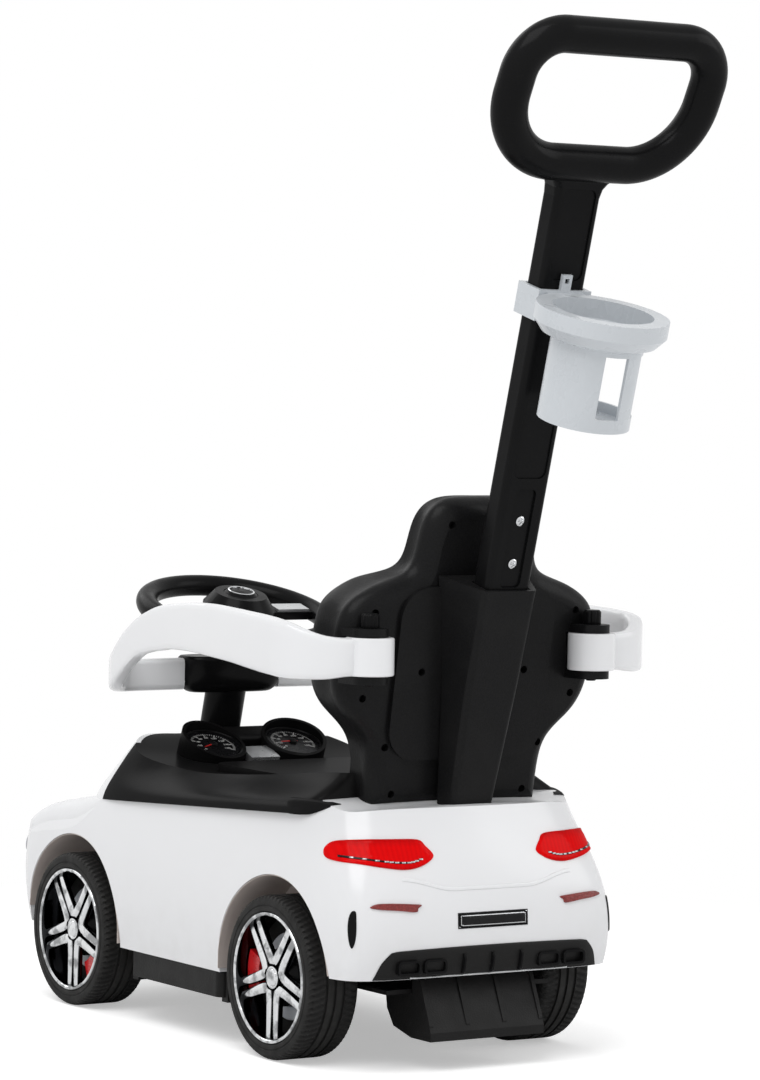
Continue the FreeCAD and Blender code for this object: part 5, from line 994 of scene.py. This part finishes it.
class MakeDials(bpy.types.Operator):
    """Prints the scales and fits the needles on the two gauges"""
    bl_idname = "pushcar.dials"
    bl_label = "Dials"
    # a gauge face: its radius, its lean and the height of the print over its middle
    face_radius, lean, print_rise = 29.5 * MM, math.radians(22), 1.05 * MM
    # length and width of the ticks, mm, and their thickness
    long_tick, short_tick, tick_thickness = (5.0, 1.1), (2.4, 0.5), 0.3 * MM
    # numbers: from one to the next, size, half thickness, and place inside the scale
    number_step, number_size, number_half, number_inset = 20, 4.4 * MM, 0.15 * MM, 7.8 * MM
    # needle: corners, its thickness, mm, and its turn on each dial
    blade, blade_rise = [(-1.1, -5, 0.6), (1.1, -5, 0.6), (0.35, 15, 1.4), (-0.35, 15, 1.4)], 0.6
    needle_turns = {"left": math.radians(118), "right": math.radians(96)}
    # radius and height of the needle's hub, and closed section of the bezel, mm
    hub = [(4.2, 0.0), (4.2, 1.6), (3.6, 2.2), (1.6, 2.6)]
    bezel = [(29.3, 0.0), (29.3, 1.6), (28.5, 1.9), (27.6, 1.2), (27.4, 0.0)]

    def execute(self, context):
        sizes = settings("dial_sizes")
        tree = scale_tree()
        middle, half = middle_of("gauge_faces")
        for name, side in HANDS.items():
            place = self.dial_place(Vector((side * (half.x - self.face_radius), middle.y, middle.z)))
            for label, count, (length, width) in (("long", sizes.major, self.long_tick),
                                                  ("short", sizes.minor, self.short_tick)):
                scale = grown("dial_%s_ticks_%s" % (label, name), bpy.data.meshes.new("dial"), tree, {
                    "Ticks": count, "Radius": sizes.radius, "Sweep": sizes.sweep, "Length": length * MM,
                    "Width": width * MM, "Thickness": self.tick_thickness, "Finish": FINISHES["print_white"]})
                scale.data.transform(place)
                dress(scale, "print_white", "car")
            self.add_numbers(name, place, sizes)
            self.add_needle(name, place)
            form = bmesh.new()
            turned_ring(form, self.bezel, count=64, place=place)
            piece("dial_bezel_" + name, form, "satin_black", "car")
        return {"FINISHED"}

    def dial_place(self, middle):
        """Frame of a gauge face, with its top to the front of the car."""
        face = middle + Vector((0, math.sin(self.lean), math.cos(self.lean))) * self.print_rise
        leant = Matrix.Rotation(-self.lean, 4, "X") @ Matrix.Rotation(math.pi, 4, "Z")
        return Matrix.Translation(face) @ leant

    def add_numbers(self, name, place, sizes):
        form = bmesh.new()
        radius = sizes.radius - self.number_inset
        for n in range(sizes.major):
            turn = (n / (sizes.major - 1) - 0.5) * sizes.sweep
            words = bpy.data.curves.new("number", "FONT")
            words.body = str(n * self.number_step)
            words.size = self.number_size
            words.extrude = self.number_half
            words.align_x = "CENTER"
            words.align_y = "CENTER"
            drawn = bpy.data.objects.new("number", words)
            bpy.context.scene.collection.objects.link(drawn)
            bpy.context.view_layer.update()
            shown = drawn.evaluated_get(bpy.context.evaluated_depsgraph_get())
            mesh = bpy.data.meshes.new_from_object(shown)
            mesh.transform(Matrix.Translation((radius * math.sin(turn), radius * math.cos(turn), 0)))
            form.from_mesh(mesh)
            bpy.data.objects.remove(drawn)
        form.transform(place)
        piece("dial_numbers_" + name, form, "print_white", "car")

    def add_needle(self, name, place):
        turn = Matrix.Rotation(self.needle_turns[name], 4, "Z")
        blade = [[turn @ (Vector((x, y, z + rise)) * MM) for x, y, z in self.blade]
                 for rise in (0.0, self.blade_rise)]
        hub = [[Vector((a, b, level * MM)) for a, b in ring_of(count=24, radius=radius * MM)]
               for radius, level in self.hub]
        for label, rows, finish in (("dial_needle_", blade, "print_red"), ("dial_hub_", hub, "satin_black")):
            form = bmesh.new()
            closed_tube(form, rows)
            form.transform(place)
            piece(label + name, form, finish, "car")


class MakeTailTrim(bpy.types.Operator):
    """Fits the bare plate, the diffuser with a painted highlight strip along its foot, the boot seam, lamps
    with strips, reflectors and corner vents
    """
    bl_idname = "pushcar.tail_trim"
    bl_label = "Tail trim"
    lamp_turn = math.radians(28)
    # outlines of (across, height) for the left side, mm; lamps and vents as seen at the lamp's turn
    lens = [(3.0, 196.2), (0.7, 202.1), (-7.8, 207.2), (-31.0, 209.2), (-58.0, 209.5), (-80.2, 208.7),
            (-87.3, 203.3), (-94.9, 194.8), (-90.0, 189.0), (-80.5, 184.8), (-68.0, 183.3), (-51.2, 185.1),
            (-27.3, 188.5), (-8.7, 189.9), (0.4, 191.7)]
    strip_foot = [(-84, 190.6), (-77, 188.3), (-69.7, 187.4), (-58, 187.9), (-48.3, 188.9), (-27.4, 191.3),
                  (-7, 193.0)]
    reflector = [(125.6, 151.7), (119.0, 154.7), (105.0, 154.8), (88.5, 153.9), (75.8, 152.6), (79.3, 149.7),
                 (81.9, 146.4), (99.1, 148.2), (116.7, 149.7)]
    vent = [(-16.3, 132.3), (-17.1, 142.5), (-19.7, 148.2), (-23.1, 148.0), (-23.7, 141.4), (-23.5, 126.9),
            (-21.6, 117.9), (-19.4, 116.0), (-17.3, 122.1)]
    # the apron's left upper edge from its corner to the middle, and its foot across the tail, mm
    apron_edge = [(121.4, 87.2), (120.0, 91.0), (115.6, 101.5), (108.0, 109.8), (104.5, 111.4), (93.0, 112.4),
                  (46.0, 113.4)]
    apron_top, apron_foot, apron_low = 113.7, (-118.0, -80.0, -40.0, 0.0, 40.0, 80.0, 118.0), 86.6
    # plate, from its frame to its field: smaller by, and lift over the body, mm
    plate = (("plate_frame", 0.0, 1.2, "satin_black", "dark_panel"),
             ("plate_line", 1.1, 1.5, "silver_paint", "silver_trim"),
             ("plate_field", 1.9, 1.8, "dial_black", "dark_panel"))
    plate_sink, shape_sink, apron_lift = 0.8 * MM, 0.6 * MM, 1.9 * MM
    # fins: half width, gaps at the foot and the top of the diffuser, lift and sink
    fin_half, fin_foot, fin_top, fin_lift, fin_sink = 1.6 * MM, 3 * MM, 5 * MM, 3.2 * MM, 0.6 * MM
    # painted highlight strip: lowest and highest place over the diffuser's foot, lift and sink
    edge_low, edge_high, edge_lift, edge_sink = 0.5 * MM, 2.1 * MM, 0.9 * MM, 0.5 * MM
    # seam: height in the middle, rise to the lamps, half the level stretch, half length, width, lift and sink
    seam_foot, seam_rise, seam_flat, seam_reach = 165 * MM, 10 * MM, 40 * MM, 92 * MM
    seam_width, seam_lift, seam_sink = 3.6 * MM, 0.7 * MM, 0.4 * MM
    # lamp strip: height, lift and sink, points to a stretch, and lift of the cells
    strip_height, strip_lift, strip_sink, strip_steps, cell_lift = 2.8 * MM, 2.4 * MM, 0.2 * MM, 10, 2.2 * MM
    # lamp cell: half width, half height and height, and the points of the strip that carry one
    cell, cell_points = (1.9 * MM, 0.7 * MM, 0.5 * MM), slice(3, -2, 5)

    def execute(self, context):
        sizes = settings("trim_sizes")
        body = surface_of("body_shell")
        self.add_plate(body, sizes)
        self.add_diffuser(body, sizes)
        self.add_seam(body)
        self.add_lamps(body)
        for name, side in HANDS.items():
            self.add_strip(name, side, body)
        return {"FINISHED"}

    def add_plate(self, body, sizes):
        for name, inset, lift, finish, slot in self.plate:
            half = sizes.plate_half - inset * MM
            heights = steps(sizes.plate_low + inset * MM, sizes.plate_high - inset * MM, 7)
            form = bmesh.new()
            rows = block_rows(steps(-half, half, 21), heights)
            laid_slab(form, body, *seen_along(0, rows), lift * MM, self.plate_sink)
            piece(name, form, finish, "car", sharp=50)

    def add_diffuser(self, body, sizes):
        outline = self.apron_edge + [(0.0, self.apron_top)] + [(-t, z) for t, z in reversed(self.apron_edge)]
        outline += [(t, self.apron_low) for t in self.apron_foot]
        form = bmesh.new()
        laid_shape(form, body, from_mm(outline), 0.0, self.apron_lift, self.shape_sink)
        apron = piece("diffuser_apron", form, "trim_black", "car", sharp=40)
        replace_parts(apron, "rear_diffuser")
        skin = surface_of("rear_diffuser", "body_shell")
        low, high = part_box("rear_diffuser")
        form = bmesh.new()
        for n in range(sizes.fins):
            x = (n - (sizes.fins - 1) / 2) * sizes.fin_pitch
            rows = block_rows(steps(x - self.fin_half, x + self.fin_half, 5),
                              steps(low.z + self.fin_foot, high.z - self.fin_top, 9))
            laid_slab(form, skin, *seen_along(0, rows), self.fin_lift, self.fin_sink)
        piece("diffuser_fins", form, "satin_black", "car", sharp=50)
        # painted highlight: a silver strip along the diffuser's foot
        form = bmesh.new()
        rows = block_rows(steps(-sizes.edge_half, sizes.edge_half, 49),
                          steps(low.z + self.edge_low, low.z + self.edge_high, 5))
        laid_slab(form, skin, *seen_along(0, rows), self.edge_lift, self.edge_sink)
        piece("diffuser_edge", form, "silver_paint", "car", sharp=50)

    def add_seam(self, body):
        """A low rounded step under the boot lid, which rises to both lamps."""
        rows = []
        for share in steps(-0.5, 0.5, 7):
            row = []
            for x in steps(-self.seam_reach, self.seam_reach, 61):
                climb = (abs(x) - self.seam_flat) / (self.seam_reach - self.seam_flat)
                climb = min(1.0, max(0.0, climb))
                level = self.seam_foot + self.seam_rise * climb * climb * (3 - 2 * climb)
                row.append((x, level + share * self.seam_width))
            rows.append(row)
        form = bmesh.new()
        laid_slab(form, body, *seen_along(0, rows), self.seam_lift, self.seam_sink)
        piece("boot_seam", form, "white_gloss", "car", sharp=60)

    def add_lamps(self, body):
        """Red lenses, reflectors and corner vents, each a pair."""
        for name, outline, turn, lift, finish, slot, node in (
                ("lamp_lenses", self.lens, self.lamp_turn, 2.0, "red_lens", "lamp_red", "tail_lamps"),
                ("reflector_lenses", self.reflector, 0.0, 1.6, "reflector_red", "lamp_red",
                 "rear_reflectors"),
                ("corner_vents", self.vent, self.lamp_turn, 1.0, "satin_black", "black_plastic",
                 "rear_vents")):
            form = bmesh.new()
            for side in HANDS.values():
                laid_shape(form, body, from_mm(outline), turn, lift * MM, self.shape_sink, side)
            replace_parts(piece(name, form, finish, "car", sharp=40), node)

    def add_strip(self, name, side, body):
        """A dark strip with bright cells along a lens's lower edge."""
        foot = from_mm(self.strip_foot)
        track = []
        for i in range(len(foot) - 1):
            track += smooth_stretch(four_round(foot, i), self.strip_steps)
        form = bmesh.new()
        rows = [[(t, z + level) for t, z in track] for level in steps(0, self.strip_height, 5)]
        laid_slab(form, body, *seen_along(self.lamp_turn, rows), self.strip_lift, self.strip_sink, side)
        piece("lamp_strip_" + name, form, "dial_black", "car", sharp=50)
        line = [(t, z + self.strip_height / 2) for t, z in track[self.cell_points]]
        starts, heading = seen_along(self.lamp_turn, [line])
        places = []
        for start in starts[0]:
            point, normal = lay(body, start, heading)
            along = normal.cross(UP).normalized()
            places.append([mirrored(v, side) for v in (point + normal * self.cell_lift, normal, along)])
        brick = lens_cell(*self.cell)
        repeated("lamp_cells_" + name, brick, places, "steel", "car", sharp=40)


class MakeNoseTrim(bpy.types.Operator):
    """Fits slats on the grille and two ringed lenses in each headlight"""
    bl_idname = "pushcar.nose_trim"
    bl_label = "Nose trim"
    # slats: heights as shares of the grille's half height, and reach as a share of its width there
    slats, slat_reach = (-0.45, 0.0, 0.45), 0.82
    slat_half, slat_lift, slat_sink = 1.2 * MM, 1.2 * MM, 0.6 * MM
    # lenses: turn off the rear that they face, across and height of their middles, radius, mm, and sink
    eye_turn, eyes, eye_radius, eye_sink = math.radians(150), [(54, 148), (74, 148)], 8.0, 0.5 * MM
    # share of the radius, and lift over the headlight, mm
    rings = (("headlight_rings", 1.0, 0.9, "chrome", "silver_trim"),
             ("headlight_lenses", 0.8, 1.5, "dark_glass", "lamp_clear"))

    def execute(self, context):
        middle, half = middle_of("front_grille")
        grille = surface_of("front_grille")
        form = bmesh.new()
        for share in self.slats:
            reach = self.slat_reach * half.x * math.sqrt(1 - share ** 2)
            level = middle.z + share * half.z
            heights = steps(level - self.slat_half, level + self.slat_half, 5)
            rows = block_rows(steps(-reach, reach, 33), heights)
            laid_slab(form, grille, *seen_along(math.pi, rows), self.slat_lift, self.slat_sink)
        piece("grille_slats", form, "chrome", "car", sharp=50)
        skin = surface_of("headlights")
        for name, share, lift, finish, slot in self.rings:
            form = bmesh.new()
            ring = ring_of(count=16, radius=share * self.eye_radius * MM)
            for t, z in self.eyes:
                outline = [(t * MM + a, z * MM + b) for a, b in ring]
                for side in HANDS.values():
                    laid_shape(form, skin, outline, self.eye_turn, lift * MM, self.eye_sink, side)
            piece(name, form, finish, "car", sharp=40)
        return {"FINISHED"}


class MakeMastDetails(bpy.types.Operator):
    """Sets cross-head screws in the mast slot"""
    bl_idname = "pushcar.mast_details"
    bl_label = "Mast details"
    # lean of the mast, direction of the cross, and radius and height of a head
    lean, cross, radius, height = math.radians(15.5), Vector((0.94, 0, 0.34)), 4.5 * MM, 2.6 * MM

    def execute(self, context):
        rear = Vector((0, math.cos(self.lean), -math.sin(self.lean)))
        corners = [vertex.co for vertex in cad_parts["mast_screws"].data.vertices]
        split = sum(corner.z for corner in corners) / len(corners)
        places = []
        for upper in (False, True):
            group = [corner for corner in corners if (corner.z > split) == upper]
            middle = sum(group, Vector()) / len(group)
            foot = min(corner.dot(rear) for corner in group)
            places.append((middle + rear * (foot - middle.dot(rear)), rear, self.cross))
        head = screw_head(self.radius, self.height)
        screws = repeated("mast_screw_heads", head, places, "chrome", "car", sharp=30)
        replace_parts(screws, "mast_screws")
        return {"FINISHED"}


class MakeGuardArms(bpy.types.Operator):
    """Makes the guard arms, crowned bands that keep their height along the flank and fall at the front"""
    bl_idname = "pushcar.guard_arms"
    bl_label = "Guard arms"
    # way along the band from the pin, lower edge, upper edge, mm
    heights = [(0, 357, 391), (27, 356.6, 391), (45, 354.5, 393), (62, 354, 398), (79, 354, 404),
               (97, 356, 407), (123, 358, 409), (175, 362, 411), (228, 364, 412), (281, 365, 410.5),
               (334, 364, 406.5), (360, 361, 403.5), (386, 358, 398), (412, 352, 389), (439, 337, 374),
               (461, 321, 355), (482, 314, 346), (502, 312, 343), (567, 312, 343)]
    # share of the half thickness, and distance from the nearer edge, mm
    section = [(-0.45, 0.0), (-0.8, 1.0), (-0.95, 3.0), (-1.0, 6.0), (-1.0, 14.0)]
    half_thick = 7.0
    # plan of the left arm's middle line, mm: pin, reach at the flank and the front, corner radii, and the hub
    pin, flank, front, rear_corner, front_corner = Vector((121.5, 298.0)), 193.0, 150.0, 44.0, 52.0
    hub, hub_side = -145.6, 54.4
    # sleeve round the pin, a closed section of (radius, height), mm
    sleeve = [(5.06, 357), (21, 357), (22, 358), (22, 390), (21, 391), (5.06, 391)]
    # tongue: places across the car with the shrink there, half thickness, half height, middle and bevel, mm
    tongue, tongue_half, tongue_rise = [(42, 2.0), (43, 1.0), (45, 0), (58, 0)], 5, 9
    tongue_middle, tongue_bevel = 327.5, 1

    def execute(self, context):
        for name, side in HANDS.items():
            form = bmesh.new()
            self.add_band(form, side)
            pin_foot = Vector((side * self.pin.x, self.pin.y, 0)) * MM
            turned_ring(form, self.sleeve, count=48, place=Matrix.Translation(pin_foot))
            self.add_tongue(form, side)
            arm = piece("guard_band_" + name, form, "white_gloss", "guard_" + name, sharp=40)
            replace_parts(arm, "guard_arm_" + name)
        return {"FINISHED"}

    def plan(self):
        """Places along the left arm's middle line with the turn of the outward direction at each."""
        quarter, narrowing, end = math.pi / 2, self.front - self.flank, self.hub + self.front_corner
        corner = Vector((self.flank - self.rear_corner, self.pin.y - self.rear_corner))
        run = end - corner.y
        spots = [(Vector((x, self.pin.y)), 0.0) for x in steps(self.pin.x, corner.x, 7)[:-1]]
        for turn in steps(0, quarter, 17)[:-1]:
            spots.append((corner + Vector((math.sin(turn), math.cos(turn))) * self.rear_corner, turn))
        for t in steps(0, 1, 49)[:-1]:
            slope = math.atan(6 * (t - t * t) * narrowing / run)
            place = Vector((self.flank + narrowing * (3 * t * t - 2 * t ** 3), corner.y + run * t))
            spots.append((place, quarter - slope))
        corner = Vector((self.front - self.front_corner, end))
        for turn in steps(0, quarter, 17):
            place = corner + Vector((math.cos(turn), -math.sin(turn))) * self.front_corner
            spots.append((place, quarter + turn))
        return spots + [(Vector((x, self.hub)), math.pi) for x in steps(corner.x, self.hub_side, 6)[1:]]

    def edges_at(self, way):
        """Lower and upper edge of the band at a way from the pin."""
        i = max(k for k, spot in enumerate(self.heights[:-1]) if spot[0] <= way)
        four = four_round(self.heights, i)
        t = min(1.0, (way - four[1][0]) / (four[2][0] - four[1][0]))
        return [between(*(spot[column] for spot in four), t) for column in (1, 2)]

    def add_band(self, form, side):
        rows, way, before = [], 0.0, self.pin
        for place, turn in self.plan():
            way += (place - before).length
            before = place
            low, high = self.edges_at(way)
            out = Vector((math.sin(turn), math.cos(turn)))
            ring = [(share, low + rise) for share, rise in self.section]
            ring += [(share, high - rise) for share, rise in reversed(self.section)]
            ring += [(-share, level) for share, level in reversed(ring)]
            row = []
            for share, level in ring:
                spot = place + out * share * self.half_thick
                row.append(Vector((side * spot.x, spot.y, level)) * MM)
            rows.append(row)
        closed_tube(form, rows)

    def add_tongue(self, form, side):
        """Rounded tongue that enters the hub."""
        rows, bevel = [], self.tongue_bevel
        for x, shrink in self.tongue:
            half, rise = self.tongue_half - 0.5 * shrink, self.tongue_rise - shrink
            ring = [(half, bevel - rise), (half, rise - bevel), (half - bevel, rise), (bevel - half, rise)]
            ring += [(-a, -b) for a, b in ring]
            rows.append([Vector((side * x, self.hub + a, self.tongue_middle + b)) * MM for a, b in ring])
        closed_tube(form, rows)


class MakeSaddleTips(bpy.types.Operator):
    """Carries the saddle's side on to the backrest in a tip that thins towards the tail"""
    bl_idname = "pushcar.saddle_tips"
    bl_label = "Saddle tips"
    # place along the car, outer reach, foot and top, mm
    spine = [(200, 144.2, 226.2, 240.2), (205, 144.6, 226.0, 240.6), (210, 144.0, 226.0, 240.6),
             (218, 142.4, 226.2, 240.6), (226, 140.2, 227.0, 240.4), (234, 137.2, 229.2, 240.0),
             (242, 133.6, 232.2, 239.2), (249, 129.4, 235.4, 238.0)]
    # depth across the car, mm, and share of the height that is rounded
    depth, rounded = 12, 0.3
    # foot's bevel: inset and rise, mm; crown: insets, mm, with the share of the rounded height there
    foot_inset, foot_rise, crown = 0.6, 0.8, [(0.4, 1.0), (1.6, 0.4), (4.0, 0.0)]

    def execute(self, context):
        for name, side in HANDS.items():
            rows = []
            for y, outer, foot, top in self.spine:
                soft, inner = self.rounded * (top - foot), outer - self.depth
                ring = [(outer - self.foot_inset, foot), (outer, foot + self.foot_rise)]
                ring += [(outer - inset, top - share * soft) for inset, share in self.crown]
                ring += [(inner, top), (inner, foot)]
                rows.append([Vector((side * x, y, z)) * MM for x, z in ring])
            form = bmesh.new()
            closed_tube(form, rows)
            piece("saddle_tip_" + name, form, "seat_black", "car", sharp=40)
        return {"FINISHED"}


class MakeHub(bpy.types.Operator):
    """Makes the guard's hub as a rounded bowl round the column"""
    bl_idname = "pushcar.hub"
    bl_label = "Guard hub"
    # share of the height, and inset from the widest outline, mm
    bowl = [(0.0, 11.0), (0.03, 8.0), (0.10, 4.6), (0.22, 1.8), (0.36, 0.4), (0.5, 0.0), (0.86, 0.0),
            (0.95, 0.8), (1.0, 2.6)]
    # power of the outline: 2 is an ellipse, and more is squarer
    squareness = 3

    def execute(self, context):
        low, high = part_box("guard_hub")
        middle, half = middle_of("guard_hub")
        rows = []
        for level, inset in self.bowl:
            row = []
            for a, b in ring_of(count=72, radius=1.0):
                spread = (abs(a) ** self.squareness + abs(b) ** self.squareness) ** (-1 / self.squareness)
                x = middle.x + (half.x - inset * MM) * a * spread
                y = middle.y + (half.y - inset * MM) * b * spread
                row.append(Vector((x, y, low.z + level * (high.z - low.z))))
            rows.append(row)
        form = bmesh.new()
        closed_tube(form, rows)
        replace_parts(piece("hub_bowl", form, "satin_black", "car", sharp=40), "guard_hub")
        return {"FINISHED"}


class MakeKnobs(bpy.types.Operator):
    """Puts fluted grips on the guard pins"""
    bl_idname = "pushcar.knobs"
    bl_label = "Guard knobs"
    flutes, count = 8, 96
    # height over the pin's top and shrink there, grip's radius and depth of a flute, mm
    grip, radius, flute = [(-13.0, 0.2), (-12.4, 0.0), (-1.6, 0.0), (0.3, 1.6), (0.5, 4.0)], 8.4, 0.9

    def execute(self, context):
        for name in HANDS:
            low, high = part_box("guard_pin_" + name)
            top = Vector(((low.x + high.x) / 2, (low.y + high.y) / 2, high.z))
            rows = []
            for level, shrink in self.grip:
                row = []
                for k in range(self.count):
                    turn = 2 * math.pi * k / self.count
                    radius = self.radius - shrink - self.flute * max(0.0, math.cos(self.flutes * turn)) ** 2
                    row.append(top + Vector((radius * math.cos(turn), radius * math.sin(turn), level)) * MM)
                rows.append(row)
            form = bmesh.new()
            closed_tube(form, rows)
            piece("knob_grip_" + name, form, "satin_black", "car", sharp=40)
        return {"FINISHED"}


class MakeSteeringDetails(bpy.types.Operator):
    """Sets a bare ringed badge place on the horn button"""
    bl_idname = "pushcar.steering_details"
    bl_label = "Steering details"
    lean = math.radians(15)
    # closed section of the ring, radius and height over the button, mm
    ring = [(13.4, -0.6), (13.4, 0.3), (12.8, 0.8), (11.8, 0.5), (11.6, -0.6)]

    def execute(self, context):
        axis = Vector((0, math.sin(self.lean), math.cos(self.lean)))
        middle, _ = middle_of("horn_button")
        corners = [vertex.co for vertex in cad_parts["horn_button"].data.vertices]
        middle += axis * (max(corner.dot(axis) for corner in corners) - middle.dot(axis))
        place = Matrix.Translation(middle) @ Matrix.Rotation(-self.lean, 4, "X")
        form = bmesh.new()
        turned_ring(form, self.ring, count=64, place=place)
        piece("horn_ring", form, "chrome", "horn", sharp=40)
        return {"FINISHED"}


class MakeUndersideScrews(bpy.types.Operator):
    """Drives screws into the chassis pan from below"""
    bl_idname = "pushcar.underside_screws"
    bl_label = "Underside screws"
    # screws in a row, half the way between the rows, and the gaps to the pan's front and rear end
    count, reach, front_gap, rear_gap = 6, 44 * MM, 20 * MM, 24 * MM
    radius, height = 4 * MM, 2 * MM
    # the pan is felt from this far below it
    below = 50 * MM

    def execute(self, context):
        low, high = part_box("chassis_pan")
        pan = surface_of("chassis_pan")
        places = []
        for y in steps(low.y + self.front_gap, high.y - self.rear_gap, self.count):
            for x in (-self.reach, self.reach):
                point, _ = lay(pan, Vector((x, y, low.z - self.below)), UP)
                places.append((point, -UP, Vector((1, 0, 0))))
        head = screw_head(self.radius, self.height)
        repeated("pan_screws", head, places, "steel", "car", sharp=30)
        return {"FINISHED"}


class MakeStage(bpy.types.Operator):
    """Sets up the floor, the light and the camera"""
    bl_idname = "pushcar.stage"
    bl_label = "Stage"
    # half the floor's width, distances at which it starts to fade and is white, and its lift to the camera
    reach, fade_start, fade_end, lift = 14.0, 0.45, 1.1, 0.42
    # place, width and share of the key lamp's power
    lights = {"key_lamp": ((1.6, 1.2, 2.9), 2.2, 1.0), "fill_lamp": ((-2.4, 1.9, 1.8), 1.8, 0.35),
              "front_lamp": ((0.4, -2.6, 2.4), 2.0, 0.4)}
    # point that the lamps face
    aim = Vector((0, 0, 0.3))

    def execute(self, context):
        scene = context.scene
        scene.view_settings.view_transform = "Standard"
        values = settings("stage_settings")
        self.add_floor(scene)
        self.add_sky(scene, values)
        self.add_lights(scene, values)
        self.add_camera(scene, values)
        return {"FINISHED"}

    def add_floor(self, scene):
        form = bmesh.new()
        places = steps(-self.reach, self.reach, 9)
        skin_grid(form, [[Vector((x, y, 0)) for x in places] for y in places])
        mesh = bpy.data.meshes.new("studio_floor")
        form.to_mesh(mesh)
        form.free()
        floor = bpy.data.objects.new("studio_floor", mesh)
        scene.collection.objects.link(floor)
        paper = Finish("studio_paper", (0.93, 0.93, 0.93), roughness=0.9, Specular_IOR_Level=0.0)
        far = paper.node("ShaderNodeVectorMath", {0: paper.place}, operation="LENGTH").outputs["Value"]
        fade = paper.mask(far, self.fade_start, self.fade_end)
        glow = paper.node("ShaderNodeEmission", Strength=1.0)
        seen = paper.node("ShaderNodeLightPath").outputs["Is Camera Ray"]
        lift = paper.node("ShaderNodeEmission", {"Strength": paper.mask(seen, 0, 1, 0, self.lift)})
        near = paper.node("ShaderNodeAddShader", {0: paper.shader.outputs[0], 1: lift.outputs[0]})
        blend = paper.node("ShaderNodeMixShader", {0: fade, 1: near.outputs[0], 2: glow.outputs[0]})
        output = paper.tree.nodes["Material Output"]
        paper.tree.links.new(blend.outputs[0], output.inputs["Surface"])
        mesh.materials.append(paper.material)

    @staticmethod
    def add_sky(scene, values):
        """White where it is seen or mirrored, and dimmer as light."""
        scene.world = scene.world or bpy.data.worlds.new("studio")
        scene.world.use_nodes = True
        tree = scene.world.node_tree
        tree.nodes.clear()
        path = tree_node(tree, "ShaderNodeLightPath").outputs
        seen = path["Is Camera Ray"]
        for label in ("Is Glossy Ray", "Is Transmission Ray"):
            either = tree_node(tree, "ShaderNodeMath", {0: seen, 1: path[label]}, operation="MAXIMUM")
            seen = either.outputs["Value"]
        level = tree_node(tree, "ShaderNodeMapRange", {"Value": seen}, To_Min=values.sky, To_Max=1.0)
        light = tree_node(tree, "ShaderNodeBackground", {"Strength": level.outputs["Result"]},
                          Color=(1, 1, 1, 1))
        tree_node(tree, "ShaderNodeOutputWorld", {"Surface": light.outputs["Background"]})

    def add_lights(self, scene, values):
        for name, (place, width, share) in self.lights.items():
            lamp = bpy.data.lights.new(name, "AREA")
            lamp.size = width
            lamp.energy = values.key * share
            item = bpy.data.objects.new(name, lamp)
            item.location = place
            item.rotation_euler = (self.aim - Vector(place)).to_track_quat("-Z", "Y").to_euler()
            scene.collection.objects.link(item)

    @staticmethod
    def add_camera(scene, values):
        heading, dip, roll = values.heading, values.dip, values.roll
        forward = Vector((-math.sin(heading) * math.cos(dip), -math.cos(heading) * math.cos(dip),
                          -math.sin(dip)))
        level = forward.cross(UP).normalized()
        upright = level.cross(forward)
        right = level * math.cos(roll) + upright * math.sin(roll)
        up = upright * math.cos(roll) - level * math.sin(roll)
        lens = bpy.data.cameras.new("photo_view")
        lens.lens = values.lens
        lens.sensor_width = 36
        lens.clip_end = 100
        camera = bpy.data.objects.new("photo_view", lens)
        turned = Matrix((right, up, -forward)).transposed().to_4x4()
        camera.matrix_world = Matrix.Translation(values.camera) @ turned
        scene.collection.objects.link(camera)
        scene.camera = camera


OPERATORS = (MakeFinishes, MakeTyres, MakeRims, MakeLiners, MakeDials, MakeTailTrim, MakeNoseTrim,
             MakeMastDetails, MakeGuardArms, MakeSaddleTips, MakeHub, MakeKnobs, MakeSteeringDetails,
             MakeUndersideScrews, MakeStage)


class PushCarPanel(bpy.types.Panel):
    """Lists the steps that dress the push car"""
    bl_idname = "VIEW3D_PT_push_car"
    bl_label = "Push car"
    bl_space_type = "VIEW_3D"
    bl_region_type = "UI"
    bl_category = "Push car"

    def draw(self, context):
        for operator in OPERATORS:
            self.layout.operator(operator.bl_idname)
        for name, group in GROUPS.items():
            section = self.layout.box()
            for label in group.__annotations__:
                section.prop(getattr(context.scene, name), label)


def register():
    for group in GROUPS.values():
        bpy.utils.register_class(group)
    for name, group in GROUPS.items():
        setattr(bpy.types.Scene, name, PointerProperty(type=group))
    for item in OPERATORS + (PushCarPanel,):
        bpy.utils.register_class(item)


def unregister():
    for item in reversed(OPERATORS + (PushCarPanel,)):
        bpy.utils.unregister_class(item)
    for name in GROUPS:
        delattr(bpy.types.Scene, name)
    for group in reversed(list(GROUPS.values())):
        bpy.utils.unregister_class(group)


def main():
    register()
    for operator in OPERATORS:
        family, label = operator.bl_idname.split(".")
        getattr(getattr(bpy.ops, family), label)()


if __name__ == "__main__":
    main()
